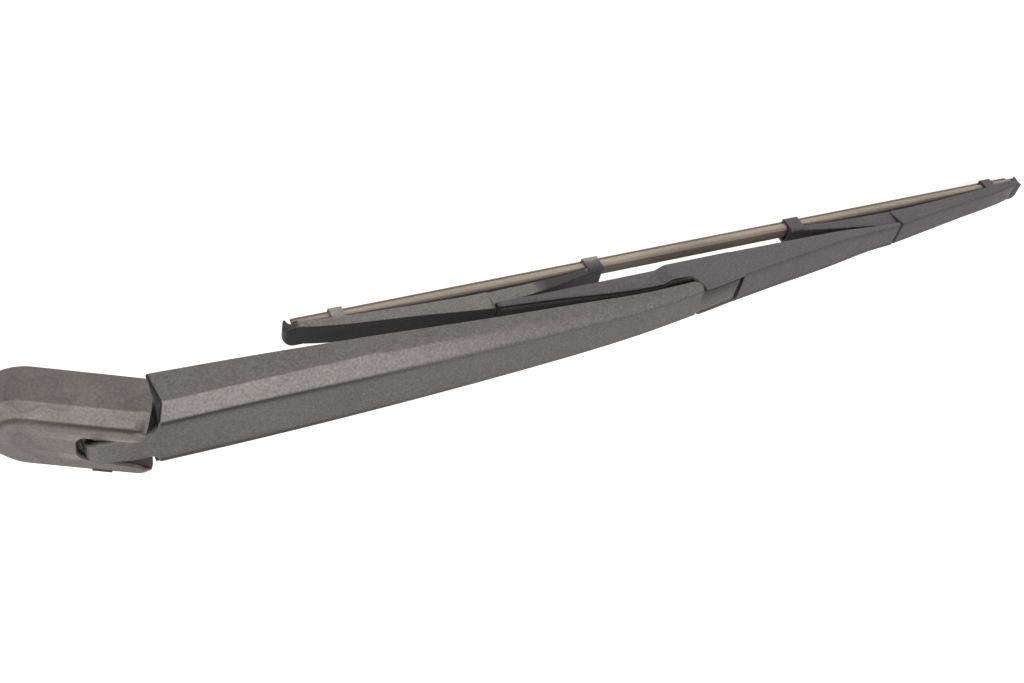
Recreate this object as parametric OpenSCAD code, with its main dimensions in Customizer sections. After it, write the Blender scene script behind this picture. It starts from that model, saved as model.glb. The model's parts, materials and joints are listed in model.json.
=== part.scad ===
// Rear window wiper: sprung arm with its cover cap and a two-stage blade.
// Millimetres. The origin is the foot of the spindle bore, +Z leaves the glass
// along the spindle and +X points along the head towards the tip.
// The arm is drawn folded against its stop, as it lies when it is off the car.

/* [Head] */
// Radius of the knurled spindle that the head clamps on
spindle_r = 4; // [3:0.1:5]
// Radius of the boss round the spindle
boss_r = 8.4; // [7:0.1:9]
// Height of the boss
boss_h = 10.5; // [8:0.5:11]
// Distance from the spindle to the hinge pin
hinge_x = 23; // [22:0.5:30]
// Height of the hinge pin above the foot of the boss
hinge_z = 11.5; // [10.5:0.5:14]
// Radius of the hinge pin
hinge_r = 2; // [1.5:0.1:2.4]
// Thickness of one fork lug
lug_t = 4; // [3:0.1:4.4]
// Radius of the pin that the spring link hooks on
anchor_r = 1.3; // [1:0.1:1.5]
// Height of the spring's anchor pin below the hinge pin
anchor_drop = 7.6; // [7.4:0.1:8]

/* [Cap] */
// Width of the cap at its open edge
cap_w = 34; // [32:0.5:40]
// Height of the cap
cap_h = 17.4; // [17:0.1:20]
// Width of the cap's flat outer face
cap_face_w = 20; // [16:0.5:22]
// Wall of the cap
cap_wall = 1.6; // [1.2:0.1:1.8]
// Clearance between the neck and the slot in the cap
slot_gap = 0.7; // [0.5:0.1:1.2]

/* [Arm] */
// Angle by which the arm folds towards the glass at its stop
fold = 23.5; // [15:0.5:28]
// Distance from the hinge pin to the shoulder of the shell
shoulder_x = 14.6; // [14:0.1:18]
// Distance from the hinge pin to the blade pivot
pivot_x = 231.2; // [220:0.1:260]
// Width of the shell at its open edge, at the root
root_w = 32.2; // [30:0.2:36]
// Wall of the shell's sides
shell_wall = 1.8; // [1.4:0.1:2]
// Thickness of the shell's outer face
shell_face = 2.2; // [1.8:0.1:2.6]
// Width of the neck that turns between the lugs
neck_w = 10; // [9:0.1:10.4]
// Wall of the neck's sides
neck_wall = 1.7; // [1.4:0.1:1.8]
// Radius of the neck's round end
knuckle_r = 7.8; // [7.4:0.1:8]
// Length of the tongue past the blade pivot
tongue_past = 7.4; // [6.5:0.1:7.6]
// Width of the tongue
tongue_w = 11.8; // [11:0.1:12]

/* [Spring] */
// Distance from the hinge pin to the spring's retainer pin
retainer_x = 62; // [58:0.5:62]
// Radius of the retainer pin
retainer_r = 1.5; // [1.2:0.1:1.7]
// Length of the link from the anchor pin to its eye
link_len = 26; // [24:0.5:27]
// Thickness of the link
link_t = 2.4; // [2:0.1:3]
// Radius of the coil at the middle of the wire
coil_r = 3.2; // [2.8:0.1:3.6]
// Radius of the spring wire
wire_r = 0.6; // [0.4:0.05:0.7]
// Turns of the coil
coil_turns = 15; // [8:1:17]

/* [Blade] */
// Depth of the blade pivot below the line of the hinge pin, in the arm
pivot_drop = 10.6; // [10:0.1:11]
// Radius of the blade pivot pin
pivot_r = 2; // [1.6:0.1:2.2]
// Distance from the blade pivot to each end of the bridge
bridge_half = 90; // [88:0.5:96]
// Width of the bridge at its middle
bridge_w = 15.2; // [15.2:0.1:16.4]
// Width of the bridge at its outer end
bridge_end_w = 11.8; // [11.6:0.1:12.6]
// Width of the slimmer half that lies under the arm
bridge_slim_w = 11; // [10.6:0.1:11.4]
// Wall of the bridge and the yokes
blade_wall = 1.2; // [1:0.05:1.3]
// Distance from each end of the bridge to its yoke pin
pin_inset = 4; // [3.5:0.1:6]
// Depth of the yoke pins below the blade pivot
yoke_pin_drop = 7.2; // [7:0.1:7.6]
// Radius of the yoke pins
yoke_pin_r = 1; // [0.8:0.05:1.1]
// Distance from the blade pivot to each inner claw
claw_inner = 45.5; // [44:0.5:48]
// Distance from each end of the blade to its outer claw
claw_inset = 19.4; // [17:0.1:21]
// Distance from the blade pivot to each end of the blade
blade_half = 165.3; // [165:0.1:168]
// Length of an inner claw along the blade
claw_len = 6.6; // [5:0.1:7.5]
// Length of an outer claw along the blade
claw_short = 5.2; // [4.5:0.1:7]

/* [Rubber] */
// Width of the rubber's head
rubber_w = 6.4; // [6:0.1:6.4]
// Depth of the rubber's back below the blade pivot
rubber_back = 15.65; // [15.6:0.05:15.9]
// Height of the rubber from its back to its lip
rubber_h = 5.35; // [5:0.05:6.5]
// Thickness of the steel rails
rail_t = 0.8; // [0.6:0.05:0.9]

/* [Hidden] */

// Running clearance on a radius, and the smallest gap between pieces that pass each other
run_gap = 0.05;
free_gap = 0.4;
// Overlap that makes a cut or a join clean
eps = 0.6;
far = 60;
// Wall of a hinge bush, and how far it stands out of the neck
bush_wall = 1;
bush_proud = 0.15;
// The lugs stand just outside the neck
lug_in = neck_w / 2 + 0.3;
lug_out = lug_in + lug_t;
lug_r = 4.4;
lug_foot_r = anchor_r + 1.4;
anchor_x = -0.5;
// The cap stands a little above the foot of the boss
cap_foot = 0.6;
cap_top = cap_foot + cap_h;
// The cap's end is round about the hinge pin, so the shoulder clears it
cap_end_r = shoulder_x - 0.4;
cap_end_turn = 32;
slot_half = neck_w / 2 + slot_gap;
slot_corner = 3.6;
// The spring's anchor and retainer in the arm's frame, at the stop
anchor_arm = [anchor_x * cos(fold) + anchor_drop * sin(fold), anchor_x * sin(fold) - anchor_drop * cos(fold)];
retainer_z = 0.2;
// Two ribs stand clear of the coil and hold the retainer pin
rib_in = coil_r + wire_r + 1;
rib_t = 2;
retainer_len = 2 * (rib_in + rib_t) + 0.6;
link_dx = retainer_x - anchor_arm[0];
link_dz = retainer_z - anchor_arm[1];
link_angle = atan2(link_dz, link_dx);
spring_len = norm([link_dx, link_dz]) - link_len;
eye_r = wire_r + 0.5;
// The yoke pins and the outer claws keep their distance from the ends
yoke_pin_x = bridge_half - pin_inset;
claw_outer = blade_half - claw_inset;
// Half-width of a piece that runs inside the slimmer channels of the blade
yoke_in = 4.1;
yoke_edge = 4.6;
seam = 0.6;
facet = 32;

// A smooth curve through key points [x, value], with level tangents worked out from
// each point's neighbours, so it bends as a draughtsman's spline does
function slope_at(t, i) = i == 0 ? (t[1][1] - t[0][1]) / (t[1][0] - t[0][0])
    : i == len(t) - 1 ? (t[i][1] - t[i - 1][1]) / (t[i][0] - t[i - 1][0])
    : (t[i + 1][1] - t[i - 1][1]) / (t[i + 1][0] - t[i - 1][0]);
function span(t, x, i = 0) = i >= len(t) - 2 || x < t[i + 1][0] ? i : span(t, x, i + 1);
function hermite(t, x, i) =
    let (h = t[i + 1][0] - t[i][0], u = min(1, max(0, (x - t[i][0]) / h)))
    t[i][1] * (1 - 3 * u * u + 2 * u * u * u) + t[i + 1][1] * (3 * u * u - 2 * u * u * u)
    + h * slope_at(t, i) * (u - 2 * u * u + u * u * u) + h * slope_at(t, i + 1) * (u * u * u - u * u);
function spline(t, x) = hermite(t, x, span(t, x));
function ease(u) = let (c = min(1, max(0, u))) c * c * (3 - 2 * c);
function mix(a, b, u) = a + (b - a) * u;
function steps(a, b, n) = [for (i = [0:n]) mix(a, b, i / n)];

// Height of the shell's outer face over the line from the hinge pin, along the arm
face_line = [[0, 7.8], [shoulder_x, 7.8], [46, 7.6], [86, 7.2], [126, 6.2], [166, 4.5],
    [pivot_x - 36, 2.5], [pivot_x - 6, -1.5], [pivot_x + 10, -4.1]];
// Half-width of the outer face
face_half = [[0, 9.8], [46, 10.2], [86, 9.6], [126, 8.8], [166, 8.1], [pivot_x - 36, 7.4], [pivot_x, 7]];
// Half-width and height of the edge between chamfer and side
edge_half = [[0, root_w / 2 - 0.9], [46, root_w / 2 - 0.7], [86, root_w / 2 - 1.1],
    [126, 13.7], [166, 11.4], [pivot_x - 36, 9], [pivot_x - 13, 7.7]];
edge_line = [[0, 4.2], [46, 3.6], [86, 2.8], [126, 2], [166, 0.8], [pivot_x - 36, -0.6], [pivot_x - 13, -2.8]];
// Half-width and height of the open edge on the glass side
open_half = [[0, root_w / 2 - 0.1], [46, root_w / 2], [86, root_w / 2 - 0.4],
    [126, 14.2], [166, 12], [pivot_x - 36, 9.5], [pivot_x - 13, 8.2]];
open_line = [[0, -8.5], [46, -6.8], [86, -5], [126, -3.5], [166, -3.1], [pivot_x - 36, -3.6], [pivot_x - 13, -5]];
shell_end = pivot_x - 13.4;

// Height of the bridge's outer face over the blade pivot: left half, cheeks, right half
function span_x(u) = u * bridge_half;
roof = 2;
cheek_start = -12.6;
cheek_full = -10;
cheek_wall = 1.4;
cheek_in = bridge_w / 2 - cheek_wall;
roof_end = -6.5;
bridge_left = [[-bridge_half, -3.5], [span_x(-0.73), -1.5], [span_x(-0.51), 0.8], [span_x(-0.36), 1.7],
    [cheek_start, roof]];
bridge_right = [[0, 8], [9, 6.8], [span_x(0.32), 4.1], [span_x(0.49), 2.2], [span_x(0.66), 0.2],
    [span_x(0.82), -1.5], [bridge_half, -2.7]];
function bridge_top(x) = x < cheek_start ? spline(bridge_left, x)
    : x < cheek_full ? mix(spline(bridge_left, cheek_start), tongue_top(cheek_full), (x - cheek_start) / (cheek_full - cheek_start))
    : x < tongue_past ? tongue_top(x) : spline(bridge_right, x);
function tongue_top(x) = spline(face_line, pivot_x + x) + pivot_drop;
function bridge_foot(x) = x < 8 ? -5.6 : mix(-5.4, -4.4, (x - 8) / (bridge_half - 8));
// The step where the slimmer half widens into the cheeks
step_x = -24.5;
step_len = 3.6;
function bridge_wide(x) = x < step_x ? bridge_slim_w / 2
    : x < step_x + step_len ? mix(bridge_slim_w, bridge_w, (x - step_x) / step_len) / 2
    : mix(bridge_w / 2, bridge_end_w / 2, ease((x / bridge_half - 0.61) * 3));

// Height and half-width of a yoke over its length, from the inner claw to the tip
function in_x(u) = mix(claw_inner, yoke_pin_x, u);
function out_x(u) = mix(bridge_half, blade_half, u);
yoke_back = [[in_x(-0.13), -12.9], [in_x(0.11), -11.2], [in_x(0.4), -9], [in_x(0.7), -7.3],
    [yoke_pin_x - 3, -5.7], [yoke_pin_x + 3, -5.6]];
yoke_cover = [[bridge_half, -2.8], [out_x(0.12), -4], [out_x(0.32), -6.2], [out_x(0.52), -8.2],
    [out_x(0.72), -10.1], [out_x(0.85), -11.7], [out_x(0.93), -13.1]];
yoke_foot = [[in_x(-0.13), -14.8], [in_x(0.11), -14], [in_x(0.4), -13], [in_x(0.75), -12.4],
    [out_x(0.08), -11.9], [out_x(0.21), -12.2], [out_x(0.48), -13.1], [out_x(0.74), -14.5], [out_x(0.94), -15.8]];
yoke_cover_half = [[bridge_half, 5.8], [out_x(0.32), 5.5], [out_x(0.53), 5.1], [out_x(0.72), 4.8],
    [out_x(0.94), 4.7]];

// A closed skin over rings of equal size, with flat ends
module skin(rings) {
    n = len(rings[0]);
    m = len(rings);
    polyhedron(points = [for (r = rings, p = r) p],
        faces = concat([[for (i = [0:n - 1]) i]], [[for (i = [n - 1:-1:0]) (m - 1) * n + i]],
            [for (k = [0:m - 2], i = [0:n - 1]) [k * n + i, (k + 1) * n + (i + 1) % n, k * n + (i + 1) % n]],
            [for (k = [0:m - 2], i = [0:n - 1]) [k * n + i, (k + 1) * n + i, (k + 1) * n + (i + 1) % n]]),
        convexity = 8);
}
// A corner p between a and b, eased over the length d with one point in the middle
function eased(a, p, b, d) =
    let (u = (a - p) / norm(a - p), v = (b - p) / norm(b - p))
    [p + u * d, p + (u + v) * d * 0.3, p + v * d];
// The right-hand half of a section, from the open edge up, and its whole ring at x
function both(half) = concat(half, [for (i = [len(half) - 1:-1:0]) [-half[i][0], half[i][1]]]);
function ring_at(x, half) = [for (p = both(half)) [x, p[0], p[1]]];
// A drawing in X and Z, as thick as t across Y
module across(t) {
    rotate([90, 0, 0]) linear_extrude(t, center = true) children();
}
module pin_y(r, l) {
    rotate([90, 0, 0]) cylinder(r = r, h = l, center = true, $fn = 48);
}
module in_head() {
    translate([hinge_x, 0, hinge_z]) children();
}
module in_arm() {
    in_head() rotate([0, fold, 0]) children();
}
module in_blade() {
    in_arm() translate([pivot_x, 0, -pivot_drop]) children();
}
module on_link() {
    in_arm() translate([anchor_arm[0], 0, anchor_arm[1]]) rotate([0, -link_angle, 0]) children();
}

// Die-cast head: boss on the spindle, web and a fork of two lugs
module lug_outline() {
    circle(r = lug_r, $fn = 64);
    translate([anchor_x, -anchor_drop]) circle(r = lug_foot_r, $fn = 48);
    polygon([[-14, -hinge_z + 1.6], [anchor_x, -anchor_drop - lug_foot_r + 0.02],
        [anchor_x + lug_foot_r - 0.02, -anchor_drop], [lug_r - 0.02, 0], [0, lug_r - 0.02], [-14, boss_h - hinge_z]]);
}
module head_casting() {
    color("#8f8f8c") difference() {
        union() {
            cylinder(r = boss_r, h = boss_h, $fn = 96);
            in_head() across(2 * lug_out) lug_outline();
            translate([0, -lug_out, 1.6]) cube([hinge_x - knuckle_r, 2 * lug_out, boss_h - 3]);
        }
        translate([0, 0, -eps]) cylinder(r = spindle_r, h = boss_h + 2 * eps, $fn = 96);
        in_head() pin_y(knuckle_r + free_gap, 2 * lug_in);
        in_head() translate([0, -lug_in, -hinge_z]) cube([2 * lug_r + 4, 2 * lug_in, 2 * hinge_z]);
        in_head() pin_y(hinge_r, 3 * lug_out);
        in_head() translate([anchor_x, 0, -anchor_drop]) pin_y(anchor_r, 3 * lug_out);
        in_head() translate([anchor_x, 0, -anchor_drop]) pin_y(anchor_r + 2, 2 * lug_in);
    }
}

// Snap-on cap: round behind the spindle, chamfered along its sides, slotted for the neck
function cap_ring(z, w, back, front) =
    let (c = 3, n = 24)
    [for (p = concat([for (i = [0:n]) [w * cos(90 + 180 * i / n) * back, w * sin(90 + 180 * i / n)]],
        [for (i = [0:4]) [front - c + c * sin(22.5 * i), -w + c - c * cos(22.5 * i)]],
        [for (i = [0:4]) [front - c + c * cos(22.5 * i), w - c + c * sin(22.5 * i)]])) [p[0], p[1], z]];
cap_front = hinge_x + cap_end_r + 1;
cap_side = cap_w / 2;
cap_face = cap_face_w / 2;
cap_shoulder = cap_top - 4.4;
module cap_form() {
    skin([for (l = [[cap_foot, cap_side], [cap_foot + 5, cap_side - 0.2], [cap_shoulder - 0.7, cap_side - 0.8],
        [cap_shoulder, cap_side - 1.2], [cap_shoulder + 0.6, cap_side - 1.9], [cap_top - 0.7, cap_face + 0.8],
        [cap_top - 0.2, cap_face], [cap_top, cap_face - 0.9]]) cap_ring(l[0], l[1], 1, cap_front)]);
}
module cap_hollow() {
    skin([for (l = [[cap_foot - 1, cap_side - cap_wall], [cap_shoulder - 0.7, cap_side - 0.8 - cap_wall],
        [cap_top - cap_wall, cap_face - 0.8]]) cap_ring(l[0], l[1], 1, cap_front - cap_wall - 1)]);
}
module slot_plan() {
    left = hinge_x - 8;
    flare = 5;
    right = hinge_x + cap_end_r;
    for (s = [-1, 1]) translate([left + slot_corner, s * (slot_half - slot_corner)]) circle(r = slot_corner, $fn = 48);
    translate([left, slot_corner - slot_half]) square([slot_corner, 2 * (slot_half - slot_corner)]);
    translate([left + slot_corner, -slot_half]) square([right - left, 2 * slot_half]);
    for (s = [-1, 1]) difference() {
        translate([right - flare, s * (slot_half + flare / 2)]) translate([0, -flare / 2]) square([flare + 3, flare]);
        translate([right - flare, s * (slot_half + flare)]) circle(r = flare, $fn = 64);
    }
}
module head_cap() {
    color("#57524f") difference() {
        union() {
            difference() {
                cap_form();
                cap_hollow();
            }
            translate([hinge_x - 5.6, -cap_face - 0.9, cap_top - 1.1]) rotate([36, 0, 0])
                translate([0, -1.6, -0.8]) cube([6, 2.2, 1.7]);
            intersection() {
                cap_form();
                for (x = [5, 15], s = [-1, 1])
                    translate([x, s * (lug_out + cap_side) / 2, cap_foot + 7])
                        cube([1.4, cap_side - lug_out, 10], center = true);
            }
        }
        translate([0, 0, -eps]) linear_extrude(cap_top + 2 * eps) slot_plan();
        in_head() rotate([90, 0, 0]) difference() {
            translate([0, -far / 2, -far / 2]) cube(far);
            cylinder(r = cap_end_r, h = 2 * far, center = true, $fn = 128);
            linear_extrude(2 * far, center = true) polygon([[0, 0],
                cap_end_r * [cos(cap_end_turn), -sin(cap_end_turn)], [cap_end_r - 4.1, -hinge_z], [0, -hinge_z]]);
        }
    }
}

module hinge_pin() {
    color("#b9b9b4") in_head() pin_y(hinge_r, 2 * lug_out + 0.6);
}
module spring_anchor_pin() {
    color("#b9b9b4") in_head() translate([anchor_x, 0, -anchor_drop]) pin_y(anchor_r, 2 * lug_out - 0.4);
}
module hinge_bush(side) {
    len_y = neck_wall + bush_proud;
    in_arm() translate([0, side * (neck_w / 2 - neck_wall + len_y / 2), 0]) difference() {
        pin_y(hinge_r + bush_wall, len_y);
        pin_y(hinge_r + run_gap, 3 * len_y);
    }
}
module hinge_bush_left() {
    color("#c9a45c") hinge_bush(1);
}
module hinge_bush_right() {
    color("#c9a45c") hinge_bush(-1);
}

// Flat steel link between the head's anchor pin and the spring
module spring_link() {
    color("#777672") on_link() across(link_t) difference() {
        union() {
            circle(r = anchor_r + 1.5, $fn = 48);
            polygon([[0, -1.3], [9, -1.9], [link_len - 5, -1.5], [link_len, -1.9], [link_len, 1.9],
                [link_len - 5, 1.1], [9, 0.7], [0, 1.3]]);
            translate([link_len, 0]) circle(r = 2.4, $fn = 48);
        }
        circle(r = anchor_r + run_gap, $fn = 48);
        translate([link_len, 0]) circle(r = eye_r, $fn = 48);
    }
}

// Tension spring: a loop through the link's eye, the coil, and a hook round the retainer pin
loop_r = 2.5;
hook_r = retainer_r + wire_r + 0.25;
coil_seg = 12;
coil_last = 360 * coil_turns + 90;
function coil_radius(a) = mix(loop_r * sin(120), coil_r, ease(a / 200))
    - (coil_r - hook_r * sin(130)) * ease((a - coil_last + 200) / 200);
coil_from = loop_r * 1.5;
coil_to = spring_len - hook_r - 0.9;
function coil_point(a) = [mix(coil_from, coil_to, a / coil_last), coil_radius(a) * cos(a), coil_radius(a) * sin(a)];
spring_path = concat(
    [for (a = [-110:20:110]) [loop_r - loop_r * cos(a), loop_r * sin(a), 0]],
    [for (i = [0:coil_turns * coil_seg + 3]) coil_point(i * 360 / coil_seg)],
    [for (a = [110:-20:-130]) [spring_len + hook_r * cos(a), 0, hook_r * sin(a)]]);
function unit(v) = v / norm(v);
function tangent(p, i) = unit(p[min(len(p) - 1, i + 1)] - p[max(0, i - 1)]);
function square_to(v, t) = unit(v - (v * t) * t);
function normals(p) = [for (i = 0, v = square_to([0, 0, 1], tangent(p, 0)); i < len(p);
    i = i + 1, v = i < len(p) ? square_to(v, tangent(p, i)) : v) v];
module wire(path, r, sides) {
    side = normals(path);
    skin([for (i = [0:len(path) - 1]) let (t = tangent(path, i), u = side[i], w = cross(t, u))
        [for (k = [0:sides - 1]) path[i] + r * (u * cos(360 * k / sides) + w * sin(360 * k / sides))]]);
}
module tension_spring() {
    color("#8a8378") on_link() translate([link_len, 0, 0]) wire(spring_path, wire_r, 6);
}
module spring_retainer_pin() {
    color("#b9b9b4") in_arm() translate([retainer_x, 0, retainer_z]) pin_y(retainer_r, retainer_len);
}

// Moulded arm: a channel open to the glass, with a neck at the root and a tongue at the tip
function shell_half(x) =
    let (a = [spline(open_half, x), spline(open_line, x)], b = [spline(edge_half, x), spline(edge_line, x)],
        c = [spline(face_half, x), spline(face_line, x)])
    concat([a], eased(a, b, c, 0.9), eased(b, c, [0, c[1]], 0.7));
function hollow_half(x) =
    [[spline(open_half, x) - shell_wall, spline(open_line, x) - 2],
    [spline(edge_half, x) - shell_wall, spline(edge_line, x) - 0.6],
    [spline(face_half, x) - shell_wall * 0.4, spline(face_line, x) - shell_face]];
module neck_outline(r, top) {
    intersection() {
        circle(r = r, $fn = 96);
        translate([-20, 0]) square(40);
    }
    circle(r = r - 2.8, $fn = 64);
    polygon([[0, -r + 2.8], [shoulder_x + 3, -r + 2.8], [shoulder_x + 3, top], [0, top], [-1, r - 0.03]]);
}
module neck_fillets() {
    r = 4.6;
    for (s = [-1, 1]) difference() {
        translate([shoulder_x - r, s * (neck_w / 2 + r / 2 - 0.2) - r / 2]) square([r + 1, r]);
        translate([shoulder_x - r, s * (neck_w / 2 + r)]) circle(r = r, $fn = 96);
    }
}
module tongue_outline(thick) {
    xs = steps(pivot_x - 32, pivot_x + tongue_past, 10);
    polygon(concat([for (x = xs) [x, spline(face_line, x) - 0.02]],
        [for (i = [len(xs) - 1:-1:0]) [xs[i], spline(face_line, xs[i]) - thick]]));
}
module arm_shell() {
    xs = concat(steps(shoulder_x, 46, 4), [for (x = [56:10:pivot_x - 45]) x], steps(pivot_x - 36, shell_end, 4));
    color("#4f4c4b") in_arm() difference() {
        union() {
            difference() {
                skin([for (x = xs) ring_at(x, shell_half(x))]);
                skin([for (x = concat([shoulder_x + shell_wall], [for (x = xs) if (x > shoulder_x + 4) x],
                    [shell_end + 1])) ring_at(x, hollow_half(x))]);
            }
            intersection() {
                across(neck_w) neck_outline(knuckle_r, spline(face_line, shoulder_x));
                translate([-knuckle_r, 0, -20]) linear_extrude(40) {
                    translate([4, -neck_w / 2]) square([40, neck_w]);
                    for (s = [-1, 1]) translate([4, s * (neck_w / 2 - 4)]) circle(r = 4, $fn = 48);
                    translate([0, -neck_w / 2 + 4]) square([8, neck_w - 8]);
                }
            }
            translate([0, 0, spline(face_line, shoulder_x) - shell_face]) linear_extrude(shell_face)
                neck_fillets();
            for (s = [-1, 1]) translate([0, s * (rib_in + rib_t / 2), 0]) across(rib_t) {
                translate([retainer_x, retainer_z]) circle(r = retainer_r + 1.6, $fn = 48);
                translate([retainer_x - retainer_r - 1.6, retainer_z])
                    square([2 * retainer_r + 3.2, spline(face_line, retainer_x) - retainer_z - 1]);
            }
            across(tongue_w) tongue_outline(2.6);
            for (s = [-1, 1]) translate([pivot_x, s * 4.6, -pivot_drop]) across(2) {
                circle(r = 4.3, $fn = 64);
                polygon([[-4.3, 0], [4.3, 0], [4.3, tongue_top(4.3) - 1], [-4.3, tongue_top(-4.3) - 1]]);
            }
        }
        across(neck_w - 2 * neck_wall) {
            circle(r = knuckle_r - 2, $fn = 64);
            polygon([[-1, -10], [shoulder_x + 8, -10], [shoulder_x + 8, spline(face_line, shoulder_x) - shell_face],
                [0, knuckle_r - 2]]);
            translate([-knuckle_r, -11]) square([20, 8]);
        }
        pin_y(hinge_r + bush_wall, 3 * neck_w);
        translate([retainer_x, 0, retainer_z]) pin_y(retainer_r, retainer_len + eps);
        translate([pivot_x, 0, -pivot_drop]) pin_y(pivot_r + 1, 3 * tongue_w);
    }
}

// Plastic adapter that carries the blade's pin in the arm's two lugs
module blade_adapter() {
    color("#2f2e2e") in_blade() difference() {
        union() {
            pin_y(pivot_r + 1, 11.2);
            translate([-3.4, -3.4, 0]) cube([6.8, 6.8, tongue_top(3.4) - 3]);
        }
        pin_y(pivot_r + run_gap, far);
    }
}
// The pin goes in from the far cheek and ends inside the near one
pin_len = bridge_w - 0.7;
pin_side = -0.35;
module blade_pivot_pin() {
    color("#b9b9b4") in_blade() translate([0, pin_side, 0]) pin_y(pivot_r, pin_len);
}

// Bridge: a channel open to the glass, slim under the arm, with cheeks on both sides of the tongue
function bridge_ring(x, inset, top_cut, drop) =
    let (w = bridge_wide(x) - inset, t = bridge_top(x) - top_cut, f = bridge_foot(x) - drop)
    inset > 0 ? ring_at(x, [[w, f], [w, t]]) : ring_at(x, concat([[w - 0.1, f]], eased([w, f], [w, t], [0, t], 0.6)));
module blade_bridge() {
    slot_end = tongue_past + 1.2;
    cheek_back = -15;
    xs = concat(steps(-bridge_half, step_x, 7), [step_x + step_len, cheek_start, cheek_full],
        steps(cheek_full + 3, slot_end, 3), steps(slot_end + 8, bridge_half, 9));
    color("#474546") in_blade() difference() {
        union() {
            difference() {
                skin([for (x = xs) bridge_ring(x, 0, 0, 0)]);
                for (half = [[-bridge_half - 1, step_x], [step_x + step_len, cheek_back], [slot_end + 1, bridge_half + 1]])
                    skin([for (x = steps(half[0], half[1], 9)) bridge_ring(min(max(x, -bridge_half), bridge_half),
                        blade_wall, 1.3, 1) + [for (i = [0:3]) [x - min(max(x, -bridge_half), bridge_half), 0, 0]]]);
                translate([cheek_back, -cheek_in, roof]) cube([slot_end - cheek_back, 2 * cheek_in, far]);
                translate([cheek_back, -cheek_in, roof - 1.3 - far]) cube([slot_end - cheek_back, 2 * cheek_in, far]);
                translate([roof_end, -cheek_in, -far]) cube([slot_end - roof_end, 2 * cheek_in, 2 * far]);
            }
            for (x = [cheek_back - 3.5:1.1:roof_end - 4])
                translate([x, 0, min(roof, spline(bridge_left, x)) - 0.1]) pin_y(0.5, bridge_slim_w - 2);
            for (s = [-1, 1]) translate([s * yoke_pin_x, 0, -yoke_pin_drop]) across(3.4) {
                circle(r = 2.3, $fn = 48);
                translate([-2.3, 0]) square([4.6, yoke_pin_drop + bridge_top(s * yoke_pin_x) - 0.8]);
            }
        }
        translate([0, pin_side, 0]) pin_y(pivot_r, pin_len);
        for (s = [-1, 1]) translate([s * yoke_pin_x, 0, -yoke_pin_drop]) pin_y(yoke_pin_r, 2 * yoke_in);
    }
}
module yoke_pin(side) {
    in_blade() translate([side * yoke_pin_x, 0, -yoke_pin_drop]) pin_y(yoke_pin_r, 2 * yoke_in - 0.2);
}
module rear_yoke_pin() {
    color("#b9b9b4") yoke_pin(-1);
}
module front_yoke_pin() {
    color("#b9b9b4") yoke_pin(1);
}

// Yoke: slim inside the bridge, full outside it, with two claws and a hooked end
function yoke_half(x) = x < bridge_half + seam
    ? let (t = spline(yoke_back, x), f = spline(yoke_foot, x), p = [yoke_in, t])
        concat([[yoke_in, f]], eased([yoke_in, f], p, [0, t], 0.4))
    : let (t = spline(yoke_cover, x), f = spline(yoke_foot, x), p = [spline(yoke_cover_half, x), t])
        concat([[yoke_edge, f]], eased([yoke_edge, f], p, [0, t], 0.6));
function yoke_hollow(x) = let (f = spline(yoke_foot, x), cover = x > bridge_half + seam)
    [[yoke_in - blade_wall + (cover ? 0.5 : 0), f - 4],
    [yoke_in - blade_wall + (cover ? 0.5 : 0), (cover ? spline(yoke_cover, x) : spline(yoke_back, x)) - 1.3]];
module claw_outline() {
    for (s = [-1, 1]) mirror([s < 0 ? 1 : 0, 0]) polygon([[rubber_w / 2 + 0.3, -12.4], [rubber_w / 2 + 0.3, -18],
        [1.5, -18.2], [1.5, -19.1], [4.2, -19.1], [4.7, -18.6], [4.7, -13], [yoke_in - 0.2, -11.6]]);
}
module hook_outline() {
    e = blade_half;
    polygon([[e - 7.6, -11.7], [e - 3.4, -12.9], [e - 1.2, -14.6], [e - 0.2, -16.6], [e, -18.6], [e - 0.7, -20.4],
        [e - 1.6, -19.6], [e - 1.8, -17.4], [e - 2.8, -15.3], [e - 7.6, -14.4]]);
}
module yoke() {
    stem_room = 8.4;
    slim = concat(steps(claw_inner - claw_len / 2, in_x(0.75), 6),
        [yoke_pin_x - 3, yoke_pin_x + 0.85 * pin_inset, bridge_half + seam - 0.01]);
    full = steps(bridge_half + seam + 0.01, blade_half - 5, 11);
    difference() {
        union() {
            skin([for (x = concat(slim, full)) ring_at(x, yoke_half(x))]);
            intersection() {
                across(2 * yoke_edge) hook_outline();
                translate([blade_half, 0, -30]) linear_extrude(30) translate([-20, 0]) {
                    translate([0, -yoke_edge]) square([17, 2 * yoke_edge]);
                    translate([17 - 1.6, 0]) circle(r = yoke_edge, $fn = 64);
                }
            }
        }
        skin([for (x = concat([claw_inner - claw_len], slim)) ring_at(x, yoke_hollow(max(x, in_x(-0.13))))]);
        skin([for (x = full) ring_at(x, yoke_hollow(x))]);
        translate([yoke_pin_x - stem_room / 2, -yoke_in + blade_wall, -far / 2])
            cube([stem_room, 2 * (yoke_in - blade_wall), far]);
        translate([yoke_pin_x, 0, -yoke_pin_drop]) pin_y(yoke_pin_r + run_gap, far);
    }
    for (c = [[claw_inner, claw_len], [claw_outer, claw_short]]) translate([c[0] - c[1] / 2, 0, 0])
        rotate([90, 0, 90]) linear_extrude(c[1]) claw_outline();
}
module front_yoke() {
    color("#55504f") in_blade() yoke();
}
module rear_yoke() {
    color("#55504f") in_blade() mirror([1, 0, 0]) yoke();
}

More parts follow.
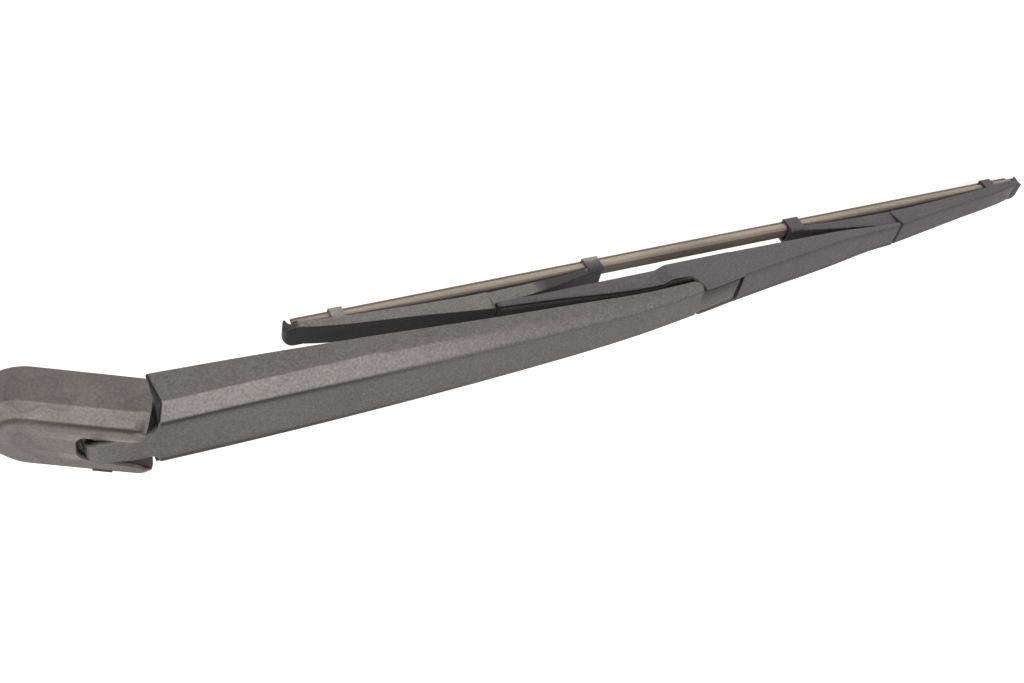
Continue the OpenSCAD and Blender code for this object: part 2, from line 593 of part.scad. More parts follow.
// Rubber: head with a groove on each side for a rail, neck, wedge and lip
rubber_half_len = blade_half - 3.6;
rail_z = -rubber_back - 0.65;
module rubber_outline() {
    h = rubber_w / 2;
    lip = -rubber_back - rubber_h;
    polygon(both([[0.35, lip], [0.4, lip + 0.5], [1.3, rail_z - rail_t - 1.4], [0.8, rail_z - rail_t - 1.2],
        [0.8, rail_z - rail_t - 0.75], [h, rail_z - rail_t - 0.6], [h, rail_z - rail_t], [1.3, rail_z - rail_t],
        [1.3, rail_z], [h, rail_z], [h, -rubber_back - 0.3], [h - 0.3, -rubber_back]]));
}
module wiper_rubber() {
    color("#3a3735") in_blade() translate([-rubber_half_len, 0, 0])
        rotate([90, 0, 90]) linear_extrude(2 * rubber_half_len) rubber_outline();
}
module rail(side) {
    len_x = 2 * rubber_half_len - 1;
    in_blade() translate([-len_x / 2, side > 0 ? 1.3 : -rubber_w / 2 - 0.05, rail_z - rail_t])
        cube([len_x, rubber_w / 2 + 0.05 - 1.3, rail_t]);
}
module left_rail() {
    color("#a5906f") rail(1);
}
module right_rail() {
    color("#a5906f") rail(-1);
}

head_casting();
head_cap();
hinge_pin();
hinge_bush_left();
hinge_bush_right();
spring_anchor_pin();
spring_link();
tension_spring();
spring_retainer_pin();
arm_shell();
blade_adapter();
blade_pivot_pin();
blade_bridge();
rear_yoke_pin();
front_yoke_pin();
rear_yoke();
front_yoke();
wiper_rubber();
left_rail();
right_rail();
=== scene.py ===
"""Looks of a used rear window wiper: cap, sprung arm, two-stage blade and its rubber."""

import json
import logging
import math
from collections.abc import Callable
from dataclasses import dataclass, field
from enum import Enum

import bmesh
import bpy
import numpy as np
from mathutils import Matrix, Vector

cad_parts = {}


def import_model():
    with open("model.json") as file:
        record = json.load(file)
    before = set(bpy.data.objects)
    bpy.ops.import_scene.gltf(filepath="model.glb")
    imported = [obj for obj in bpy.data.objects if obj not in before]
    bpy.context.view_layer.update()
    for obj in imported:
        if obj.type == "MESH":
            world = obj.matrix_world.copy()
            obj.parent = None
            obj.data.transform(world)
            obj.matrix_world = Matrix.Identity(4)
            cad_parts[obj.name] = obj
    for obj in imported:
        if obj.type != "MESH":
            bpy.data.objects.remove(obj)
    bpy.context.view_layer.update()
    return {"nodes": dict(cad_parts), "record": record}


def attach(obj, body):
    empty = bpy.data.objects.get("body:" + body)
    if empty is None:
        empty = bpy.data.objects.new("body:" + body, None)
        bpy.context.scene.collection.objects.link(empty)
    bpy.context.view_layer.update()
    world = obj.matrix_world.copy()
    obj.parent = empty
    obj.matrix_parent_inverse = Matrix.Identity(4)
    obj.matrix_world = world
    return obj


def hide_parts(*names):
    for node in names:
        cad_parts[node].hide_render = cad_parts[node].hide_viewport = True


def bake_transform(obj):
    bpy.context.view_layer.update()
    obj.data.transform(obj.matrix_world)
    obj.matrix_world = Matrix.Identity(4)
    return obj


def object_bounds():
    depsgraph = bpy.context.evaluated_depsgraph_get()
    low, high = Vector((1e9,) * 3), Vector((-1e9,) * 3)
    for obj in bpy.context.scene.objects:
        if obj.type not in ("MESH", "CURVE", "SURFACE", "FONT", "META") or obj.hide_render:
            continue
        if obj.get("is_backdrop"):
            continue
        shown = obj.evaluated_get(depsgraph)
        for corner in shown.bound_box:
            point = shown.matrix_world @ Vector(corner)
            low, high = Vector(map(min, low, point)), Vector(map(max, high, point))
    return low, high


log = logging.getLogger("wiper")

MM = 0.001
SHARP = math.radians(38)
HINGE = (23.0, 0.0, 11.5)
FOLD = math.radians(23.5)
PIVOT = (231.2, 0.0, -10.6)
YOKE_PIN_X = 86.0
YOKE_PIN_Z = -7.2
CAP_FOOT = 0.6
TAB_TILT = math.radians(36)
TAB_TURN = np.array([[1, 0, 0], [0, math.cos(TAB_TILT), -math.sin(TAB_TILT)],
                     [0, math.sin(TAB_TILT), math.cos(TAB_TILT)]])


class Place(Enum):
    """The sub-assembly whose own frame a piece is drawn in."""

    HEAD = "head"
    ARM = "arm"
    BLADE = "blade"


class Grain(Enum):
    """How far a finish's patterns are drawn out along X, as a share of their width."""

    MOULDED = 1.0
    DRAWN = 0.06
    WIPED = 0.25


class Tone(Enum):
    """Colours of marks that every plastic piece shares."""

    RUBBED = "#c6c1ba"
    CHIPPED = "#dedad2"


Point = tuple[float, float, float]
Rule = Callable[[np.ndarray, np.ndarray], np.ndarray]


def to_row(points: np.ndarray, place: Place) -> np.ndarray:
    """Takes points from a sub-assembly's frame, in mm, to the row frame, in metres.

    Args:
        points: an array whose last axis is x, y, z in millimetres.
        place: the frame the points are drawn in.

    Returns:
        An array of the same shape in metres. The arm's frame is turned about the hinge
        by the fold, and the blade's frame is the arm's, moved to the blade pivot.
    """
    p = np.asarray(points, float)
    if place is Place.BLADE:
        p = p + np.array(PIVOT)
    if place is not Place.HEAD:
        c, s = math.cos(FOLD), math.sin(FOLD)
        x, z = p[..., 0] * c + p[..., 2] * s, p[..., 2] * c - p[..., 0] * s
        p = np.stack([x, p[..., 1], z], axis=-1) + np.array(HINGE)
    return p * MM


def from_row(points: np.ndarray, place: Place, turn_only: bool = False) -> np.ndarray:
    """Takes points in metres back to a sub-assembly's frame in mm, or only turns directions back.

    Args:
        points: an array whose last axis is x, y, z.
        place: the frame to go to.
        turn_only: true for directions, which are neither moved nor scaled.

    Returns:
        An array of the same shape.
    """
    p = np.asarray(points, float)
    if place is Place.HEAD:
        return p if turn_only else p / MM
    p = p if turn_only else p / MM - np.array(HINGE)
    c, s = math.cos(FOLD), math.sin(FOLD)
    p = np.stack([p[..., 0] * c - p[..., 2] * s, p[..., 1], p[..., 0] * s + p[..., 2] * c], axis=-1)
    return p - np.array(PIVOT) if place is Place.BLADE and not turn_only else p


def spline(keys: list[tuple[float, float]], x: np.ndarray) -> np.ndarray:
    """A smooth curve through key points: a cubic on each span, its slopes taken from the neighbours.

    Args:
        keys: pairs of place and value, in rising order of place.
        x: the places to read.

    Returns:
        The value at each place, held at the ends.
    """
    k = np.array(keys, float)
    kx, kv = k[:, 0], k[:, 1]
    slope = np.gradient(kv, kx) if len(kx) > 2 else np.full(2, (kv[1] - kv[0]) / (kx[1] - kx[0]))
    slope[1:-1] = (kv[2:] - kv[:-2]) / (kx[2:] - kx[:-2])
    xx = np.clip(np.asarray(x, float), kx[0], kx[-1])
    i = np.clip(np.searchsorted(kx, xx, side="right") - 1, 0, len(kx) - 2)
    h = kx[i + 1] - kx[i]
    u = (xx - kx[i]) / h
    return (kv[i] * (1 - 3 * u**2 + 2 * u**3) + kv[i + 1] * (3 * u**2 - 2 * u**3)
            + h * slope[i] * (u - 2 * u**2 + u**3) + h * slope[i + 1] * (u**3 - u**2))


def eased(u: np.ndarray) -> np.ndarray:
    """A step from 0 to 1 with level ends, 3u² - 2u³ on 0..1."""
    c = np.clip(u, 0.0, 1.0)
    return c * c * (3 - 2 * c)


def lean(n: np.ndarray) -> np.ndarray:
    """How far up faces look, in degrees: 0 to the side and 90 straight up, from their normals."""
    return np.degrees(np.arctan2(n[:, 2], np.abs(n[:, 1]) + 1e-6))


def rounded(corners: np.ndarray, radii: np.ndarray, arc: int = 5) -> np.ndarray:
    """Rounds each corner of closed outlines with a quadratic curve.

    Args:
        corners: outlines, shaped (sections, corners, 2).
        radii: how far each curve starts from its corner, shaped (corners,) or (sections, corners).
        arc: steps along each rounded corner.

    Returns:
        Points shaped (sections, corners * (arc + 1), 2). A point is (1-t)² a + 2t(1-t) p + t² b, where
        a and b lie on the two sides at the corner's radius, at most 45% of the way along.
    """
    p = np.asarray(corners, float)
    before, after = np.roll(p, 1, axis=1), np.roll(p, -1, axis=1)
    r = np.broadcast_to(np.asarray(radii, float), p.shape[:2])
    back, ahead = before - p, after - p
    lb = np.maximum(np.linalg.norm(back, axis=-1), 1e-6)
    la = np.maximum(np.linalg.norm(ahead, axis=-1), 1e-6)
    a = p + back * (np.minimum(r, 0.45 * lb) / lb)[..., None]
    b = p + ahead * (np.minimum(r, 0.45 * la) / la)[..., None]
    t = np.linspace(0, 1, arc + 1)[None, None, :, None]
    curve = (1 - t) ** 2 * a[:, :, None] + 2 * t * (1 - t) * p[:, :, None] + t**2 * b[:, :, None]
    return curve.reshape(p.shape[0], -1, 2)


def along_x(x: np.ndarray, sections: np.ndarray) -> np.ndarray:
    """Stands y-z outlines at their places along x, as rings shaped (sections, points, 3)."""
    place = np.broadcast_to(np.asarray(x, float)[:, None, None], sections.shape[:2] + (1,))
    return np.concatenate([place, sections], axis=-1)


def gathered(corners: list[tuple[np.ndarray, np.ndarray]]) -> np.ndarray:
    """Gathers corners, each the y and the z of all sections, shaped (sections, corners, 2)."""
    return np.stack([np.stack(corner, axis=-1) for corner in corners], axis=1)


def lug(x: float, z: float, r: float, tops: np.ndarray, steps: int = 17) -> np.ndarray:
    """An x-z outline about a pin, with half a circle below and straight sides.

    Args:
        x: the pin's place.
        z: its height.
        r: the radius about it.
        tops: heights where the right and the left side end.
        steps: points on the half circle.

    Returns:
        Points shaped (steps + 2, 2), anticlockwise seen from -Y.
    """
    a = np.linspace(math.pi, 2 * math.pi, steps)
    sides = np.stack([[x + r, x - r], tops], axis=1)
    return np.concatenate([np.stack([x + r * np.cos(a), z + r * np.sin(a)], axis=1), sides])


@dataclass
class Skin:
    """Vertices and faces of one piece, gathered from closed lofts."""

    points: list[np.ndarray] = field(default_factory=list)
    faces: list[list[int]] = field(default_factory=list)
    count: int = 0

    def loft(self, rings: np.ndarray) -> None:
        """Adds the skin over rings, with a flat end on the first and the last.

        Args:
            rings: points shaped (rings, points, 3), each ring closed.
        """
        m, n = rings.shape[:2]
        i, k = np.meshgrid(np.arange(n), np.arange(m - 1))
        j = (i + 1) % n
        quads = np.stack([k * n + i, k * n + j, (k + 1) * n + j, (k + 1) * n + i], axis=-1).reshape(-1, 4)
        self.faces += (quads + self.count).tolist()
        self.faces.append((np.arange(n)[::-1] + self.count).tolist())
        self.faces.append((np.arange(n) + (m - 1) * n + self.count).tolist())
        self.points.append(rings.reshape(-1, 3))
        self.count += m * n

    def block(self, low: Point, high: Point, r: float = 0.3) -> None:
        """Adds a box between two corners with the edges along X rounded by r."""
        (x0, y0, z0), (x1, y1, z1) = low, high
        outline = rounded(np.array([[[y0, z0], [y1, z0], [y1, z1], [y0, z1]]]), np.full(4, r), 3)
        self.loft(along_x(np.array([x0, x1]), np.repeat(outline, 2, axis=0)))

    def plate(self, outline: np.ndarray, y0: float, y1: float, edge: float = 0.25) -> None:
        """Adds an x-z outline as a plate between two places on Y, its rims eased by edge.

        Args:
            outline: points shaped (points, 2), anticlockwise seen from -Y.
            y0: the near side.
            y1: the far side.
            edge: how much the rims are broken.
        """
        o = np.asarray(outline, float)
        ahead, back = np.roll(o, -1, axis=0) - o, o - np.roll(o, 1, axis=0)
        t = ahead / np.maximum(np.linalg.norm(ahead, axis=1), 1e-9)[:, None]
        t = t + back / np.maximum(np.linalg.norm(back, axis=1), 1e-9)[:, None]
        t = t / np.maximum(np.linalg.norm(t, axis=1), 1e-9)[:, None]
        inward = np.stack([-t[:, 1], t[:, 0]], axis=1)
        levels = [(y0, edge), (y0 + 0.3 * edge, 0.3 * edge), (y0 + edge, 0.0),
                  (y1 - edge, 0.0), (y1 - 0.3 * edge, 0.3 * edge), (y1, edge)]
        shifted = [(o + d * inward, np.full(len(o), y)) for y, d in levels]
        self.loft(np.array([np.stack([p[:, 0], y, p[:, 1]], axis=1) for p, y in shifted]))

    def plates(self, outline: np.ndarray, inner: float, outer: float, edge: float) -> None:
        """Adds an x-z outline as a plate on each side, between two distances from the middle."""
        self.plate(outline, -outer, -inner, edge)
        self.plate(outline, inner, outer, edge)

    def disc(self, x: float, z: float, r: float, y0: float, y1: float, sides: int = 48) -> None:
        """Adds a short round bar along Y about (x, z), with its rims broken."""
        a = np.arange(sides) * 2 * math.pi / sides
        self.plate(np.stack([x + r * np.cos(a), z + r * np.sin(a)], axis=1), y0, y1, 0.15)

    def mesh(self, name: str, place: Place) -> bpy.types.Object:
        """Makes the piece, in the row frame, with smooth faces and sharp rims.

        Args:
            name: the new object's name.
            place: the frame the lofts are drawn in.

        Returns:
            The object, with its place in its mesh.
        """
        data = bpy.data.meshes.new(name)
        data.from_pydata(to_row(np.concatenate(self.points), place).tolist(), [], self.faces)
        data.validate()
        return new_piece(name, data)


def new_piece(name: str, data: bpy.types.Mesh) -> bpy.types.Object:
    """Links a mesh as an object and makes its normals point outwards.

    Args:
        name: the object's name.
        data: the mesh.

    Returns:
        The linked object.
    """
    bm = bmesh.new()
    bm.from_mesh(data)
    bmesh.ops.recalc_face_normals(bm, faces=bm.faces)
    bm.to_mesh(data)
    bm.free()
    data.polygons.foreach_set("use_smooth", np.ones(len(data.polygons), bool))
    data.set_sharp_from_angle(angle=SHARP)
    piece = bpy.data.objects.new(name, data)
    bpy.context.scene.collection.objects.link(piece)
    return piece


def store_weather_and_painted_light(piece: bpy.types.Object, place: Place, rule: Rule) -> None:
    """Stores each point's weathering, with painted light and shade on the same scale: -1 out of the sun and
    in painted shade, 0 as most of it, 1 faded by sun and hands and painted lit.

    Args:
        piece: the object.
        place: the frame that the rule is written in.
        rule: takes points in mm and their normals, each (n, 3), and gives n numbers.
    """
    verts = piece.data.vertices
    points, normals = np.empty(3 * len(verts)), np.empty(3 * len(verts))
    verts.foreach_get("co", points)
    verts.foreach_get("normal", normals)
    share = rule(from_row(points.reshape(-1, 3), place), from_row(normals.reshape(-1, 3), place, True))
    store = piece.data.attributes.new("weather_and_painted_light", "FLOAT", "POINT")
    store.data.foreach_set("value", np.clip(share, -1, 1).astype(np.float32))


def crisp(piece: bpy.types.Object) -> bpy.types.Object:
    """Weights the normals by face area, so that flats stay flat beside their rounded rims."""
    weighted = piece.modifiers.new("weighted normals", "WEIGHTED_NORMAL")
    weighted.keep_sharp = True
    return piece


def linear(hex_colour: str) -> tuple[float, float, float, float]:
    """Turns an sRGB hex colour into linear RGBA, by the standard curve."""
    c = np.array([int(hex_colour[i:i + 2], 16) / 255 for i in (1, 3, 5)])
    rgb = np.where(c <= 0.04045, c / 12.92, ((c + 0.055) / 1.055) ** 2.4)
    return (*rgb.tolist(), 1.0)


def add_node(tree: bpy.types.NodeTree, kind: str, inputs: dict | None = None, **settings) -> bpy.types.Node:
    """Adds a shader node.

    Args:
        tree: the node tree.
        kind: the node's type name without its ShaderNode prefix.
        inputs: socket name or number to a value, or to an output socket to link.
        settings: the node's own properties.

    Returns:
        The node.
    """
    node = tree.nodes.new("ShaderNode" + kind)
    for key, value in settings.items():
        setattr(node, key, value)
    for key, value in (inputs or {}).items():
        if isinstance(value, bpy.types.NodeSocket):
            tree.links.new(value, node.inputs[key])
        else:
            node.inputs[key].default_value = value
    return node


@dataclass(frozen=True)
class Layer:
    """One colour over another, where a pattern passes from low to high.

    Attributes:
        pattern: the pattern's output.
        low: where the colour starts.
        high: where it is full.
        top: its share there, as a number or another pattern's output.
        colour: sRGB hex.
    """

    pattern: bpy.types.NodeSocket
    low: float
    high: float
    top: float | bpy.types.NodeSocket
    colour: str


@dataclass(frozen=True)
class Finish:
    """How one material looks. Pattern sizes are in millimetres, shares run from 0 to 1.

    Attributes:
        slot: the record's material slot.
        colour: most of the surface, sRGB hex.
        bleached_and_painted_light: where sun and hands have worn it, and painted highlights and lit sides,
            at 1 on the weathering scale.
        sheltered_and_painted_light: what lies out of the sun, and painted shade in creases, gaps and under
            the arm, at -1; on the rubber, the paler grey painted on its lip.
        roughness: of the surface.
        grain: the size of the surface grain.
        depth: the height of the grain.
        contrast: how strongly the grain shows in the colour.
        uneven: how strongly blotches a few centimetres across show.
        dust: the tone of dust.
        dusty: how much of the surface the dust takes.
        scuffs: how many pale rubbed marks there are.
        stains: how strongly dried tide marks show.
        metallic: 0 for plastic and rubber.
        drawn: how far the patterns are drawn out.
    """

    slot: str
    colour: str
    bleached_and_painted_light: str
    sheltered_and_painted_light: str
    roughness: float = 0.55
    grain: float = 0.55
    depth: float = 0.03
    contrast: float = 0.35
    uneven: float = 0.25
    dust: str = "#a39b90"
    dusty: float = 0.1
    scuffs: float = 0.0
    stains: float = 0.0
    metallic: float = 0.0
    drawn: Grain = Grain.MOULDED

    def patterns(self, tree: bpy.types.NodeTree) -> dict[str, bpy.types.NodeSocket]:
        """Lays out the noise patterns that the finish is made of.

        Each has the size of its features in millimetres and its detail. The rubbed marks run
        slantwise, and the others along the piece.

        Args:
            tree: the material's node tree.

        Returns:
            Each pattern's output, by name.
        """
        place = add_node(tree, "TexCoord").outputs["Object"]
        along = add_node(tree, "Mapping", {"Vector": place, "Rotation": (0.0, FOLD, 0.0),
                                           "Scale": (self.drawn.value, 1.0, 1.0)}).outputs[0]
        slant = add_node(tree, "Mapping", {"Vector": place, "Rotation": (0.0, FOLD, 0.9),
                                           "Scale": (0.22, 1.0, 1.0)}).outputs[0]
        sizes = {
            "blotch": (along, 19.0, 4.0), "mottle": (along, 2.6, 4.0), "grain": (along, self.grain, 3.0),
            "film": (along, 8.0, 7.0), "water": (along, 30.0, 2.0), "zone": (along, 14.0, 2.0),
            "mark": (slant, 0.8, 2.0), "speck": (along, 0.75, 1.0),
        }
        return {name: add_node(tree, "TexNoise", {"Vector": where, "Scale": 1.0 / (size * MM),
                                                  "Detail": detail}).outputs["Fac"]
                for name, (where, size, detail) in sizes.items()}

    def brightness(self, tree: bpy.types.NodeTree,
                   parts: list[tuple[bpy.types.NodeSocket, float]]) -> bpy.types.NodeSocket:
        """One plus each pattern's distance from its middle, times its strength.

        Args:
            tree: the material's node tree.
            parts: pairs of pattern and strength.

        Returns:
            The factor that the colour is scaled by.
        """
        total = 1.0 - 0.5 * sum(strength for _, strength in parts)
        for pattern, strength in parts:
            total = add_node(tree, "Math", {0: pattern, 1: strength, 2: total},
                             operation="MULTIPLY_ADD").outputs[0]
        return total

    def layered(self, tree: bpy.types.NodeTree, tone: bpy.types.NodeSocket | tuple,
                layers: list[Layer]) -> bpy.types.NodeSocket:
        """Lays colours over a tone, one after another.

        Args:
            tree: the material's node tree.
            tone: the colour underneath.
            layers: what is laid over it, from the bottom up.

        Returns:
            The colour on top.
        """
        for layer in layers:
            share = add_node(tree, "MapRange", {"Value": layer.pattern, "From Min": layer.low,
                                                "From Max": layer.high, "To Max": layer.top},
                             interpolation_type="SMOOTHSTEP").outputs["Result"]
            tone = add_node(tree, "Mix", {0: share, 6: tone, 7: linear(layer.colour)},
                            data_type="RGBA").outputs[2]
        return tone

    def marks(self, tree: bpy.types.NodeTree, noise: dict[str, bpy.types.NodeSocket]) -> list[Layer]:
        """Lists what lies on the surface: dust, dried tide marks, rubbed marks and chips.

        Args:
            tree: the material's node tree.
            noise: the patterns.

        Returns:
            The layers from the bottom up.
        """
        low = 0.7 - 0.3 * self.dusty
        layers = [Layer(noise["film"], low, low + 0.16, min(1.0, 2.4 * self.dusty), self.dust)]
        if self.stains:
            tide = add_node(tree, "Math", {0: noise["water"], 1: 0.52, 2: 0.022}, operation="COMPARE")
            layers += [Layer(noise["water"], 0.52, 0.535, 0.55 * self.stains, self.sheltered_and_painted_light),
                       Layer(tide.outputs[0], 0.0, 1.0, 0.25 * self.stains, self.sheltered_and_painted_light)]
        if self.scuffs:
            zone = add_node(tree, "MapRange", {"Value": noise["zone"], "From Min": 0.48, "From Max": 0.62,
                                               "To Max": 0.75 * self.scuffs},
                            interpolation_type="SMOOTHSTEP")
            layers += [Layer(noise["mark"], 0.7, 0.76, zone.outputs["Result"], Tone.RUBBED.value),
                       Layer(noise["speck"], 0.79, 0.83, self.scuffs, Tone.CHIPPED.value)]
        return layers

    def material(self) -> bpy.types.Material:
        """Builds the material.

        The colour goes from the -1 colour, for unfaded plastic and painted shade, through the common tone
        to the +1 colour, for faded wear and painted highlights, by the piece's attribute of weathering and
        painted light. Blotches, mottling and grain lighten and darken it, then come the marks. The grain
        also gives the bump, and the mottling the gloss.

        Returns:
            The node material, named after its slot.
        """
        material = bpy.data.materials.new(self.slot)
        material.use_nodes = True
        tree = material.node_tree
        tree.nodes.clear()
        noise = self.patterns(tree)
        # Per-point weathering with painted light and shade, stored by each piece's rule
        weather_and_painted_light = add_node(tree, "Attribute", attribute_name="weather_and_painted_light").outputs["Fac"]
        tone = self.layered(tree, linear(self.colour), [Layer(weather_and_painted_light, 0.0, 1.0, 1.0, self.bleached_and_painted_light),
                                                        Layer(weather_and_painted_light, 0.0, -1.0, 1.0, self.sheltered_and_painted_light)])
        light = self.brightness(tree, [(noise["blotch"], self.uneven),
                                       (noise["mottle"], 0.35 * self.contrast),
                                       (noise["grain"], self.contrast)])
        tone = add_node(tree, "VectorMath", {0: tone, "Scale": light}, operation="SCALE").outputs[0]
        tone = self.layered(tree, tone, self.marks(tree, noise))
        rough = add_node(tree, "MapRange", {
            "Value": noise["mottle"], "From Min": 0.3, "From Max": 0.7,
            "To Min": self.roughness - 0.07, "To Max": self.roughness + 0.1})
        bump = add_node(tree, "Bump", {"Height": noise["grain"], "Distance": self.depth * MM,
                                       "Strength": 1.0})
        shader = add_node(tree, "BsdfPrincipled", {
            "Base Color": tone, "Roughness": rough.outputs["Result"], "Metallic": self.metallic,
            "Normal": bump.outputs["Normal"], "Specular IOR Level": 0.5 if self.metallic else 0.32})
        add_node(tree, "OutputMaterial", {"Surface": shader.outputs["BSDF"]})
        return material


FINISHES = (
    # Moulded ABS, once black, that the sun has turned a warm grey: dull, stained and blotched
    Finish("cap_plastic", "#67615e", "#837c77", "#2b2827", 0.5, 0.8, 0.015, 0.9, 0.7, "#938b84", 0.12,
           scuffs=0.1, stains=0.4),
    # Moulded glass-filled nylon: greyed fibres show as a coarse grain; the chamfers are faded most and also
    # painted lighter, standing in for their highlight
    Finish("arm_plastic", "#625e5c", "#817c79", "#262424", 0.52, 0.85, 0.035, 1.2, 0.3, "#8d857f", 0.04,
           scuffs=0.6),
    # The same moulded nylon in a darker, cooler copy, painted shade for the arm's shade over it, with fewer
    # scuffs
    Finish("bridge_plastic", "#575355", "#66625f", "#282628", 0.5, 0.85, 0.02, 1.2, 0.3, "#7d756e", 0.06,
           scuffs=0.25),
    # The same moulded nylon, darker still, with painted shade on its back, darkest where the arm hangs over
    # the rear yoke, and painted light on the rear yoke's sides, which are made palest
    Finish("yoke_plastic", "#504b4e", "#8f8c88", "#2b292a", 0.5, 0.85, 0.02, 1.2, 0.35, "#7f766d", 0.08,
           scuffs=0.2),
    # Moulded acetal, covered by the arm, so still near black
    Finish("adapter_plastic", "#2c2b2d", "#353335", "#242324", 0.45),
    # Zinc die-casting: bright, slightly grainy and dulled by a grey film
    Finish("casting", "#a5a5a3", "#b4b4b1", "#8b8a87", 0.5, 0.6, 0.05, 0.2, 0.3, "#77716a", 0.15,
           metallic=0.75),
    # Drawn and cut steel pins: bright fine lines along them, brown where the plating is gone
    Finish("pin_steel", "#b4b3ae", "#b4b3ae", "#94908a", 0.36, 0.35, 0.01, 0.2, 0.2, "#8a6f55", 0.12,
           metallic=0.9, drawn=Grain.DRAWN),
    # Stamped steel strip, plated and dulled, so a little darker than the pins
    Finish("link_steel", "#8f8c86", "#8f8c86", "#75706a", 0.42, 0.4, 0.01, 0.25, 0.3, "#7d6450", 0.15,
           metallic=0.85, drawn=Grain.DRAWN),
    # Spring wire, drawn and wound: darker still, with rust in the grease between the turns
    Finish("spring_steel", "#8a857d", "#8a857d", "#6b6560", 0.4, 0.3, 0.01, 0.25, 0.3, "#7b5f4a", 0.15,
           metallic=0.85, drawn=Grain.WIPED),
    # Turned brass bushes, dulled brown by old grease
    Finish("bush_brass", "#c3a266", "#c3a266", "#a1824f", 0.38, 0.4, 0.01, 0.2, 0.2, "#8a7048", 0.1,
           metallic=0.85, drawn=Grain.DRAWN),
    # Aged rubber: brown on its back, khaki with road dust on its sides, and a paler grey painted on the
    # lip, standing in for light where it faces away from the lamps
    Finish("rubber", "#665c52", "#a19386", "#857b72", 0.78, 0.4, 0.02, 0.6, 0.6, "#7d7062", 0.15, 0.2,
           drawn=Grain.WIPED),
    # Rolled steel strip under the same dust, with dark rust along its edge
    Finish("rail_steel", "#978979", "#a4978a", "#66574a", 0.6, 0.4, 0.02, 0.6, 0.7, "#6f5b4b", 0.25,
           metallic=0.25, drawn=Grain.WIPED),
)


@dataclass
class Paint:
    """Makes each finish once and puts it on pieces."""

    made: dict[str, bpy.types.Material] = field(default_factory=dict)

    def build(self) -> None:
        """Builds every finish's material."""
        for finish in FINISHES:
            self.made[finish.slot] = finish.material()

    def dress(self, piece: bpy.types.Object, slot: str) -> bpy.types.Object:
        """Gives a piece one finish all over.

        Args:
            piece: the object.
            slot: the record's material slot.

        Returns:
            The same object.
        """
        piece.data.materials.clear()
        piece.data.materials.append(self.made[slot])
        return piece


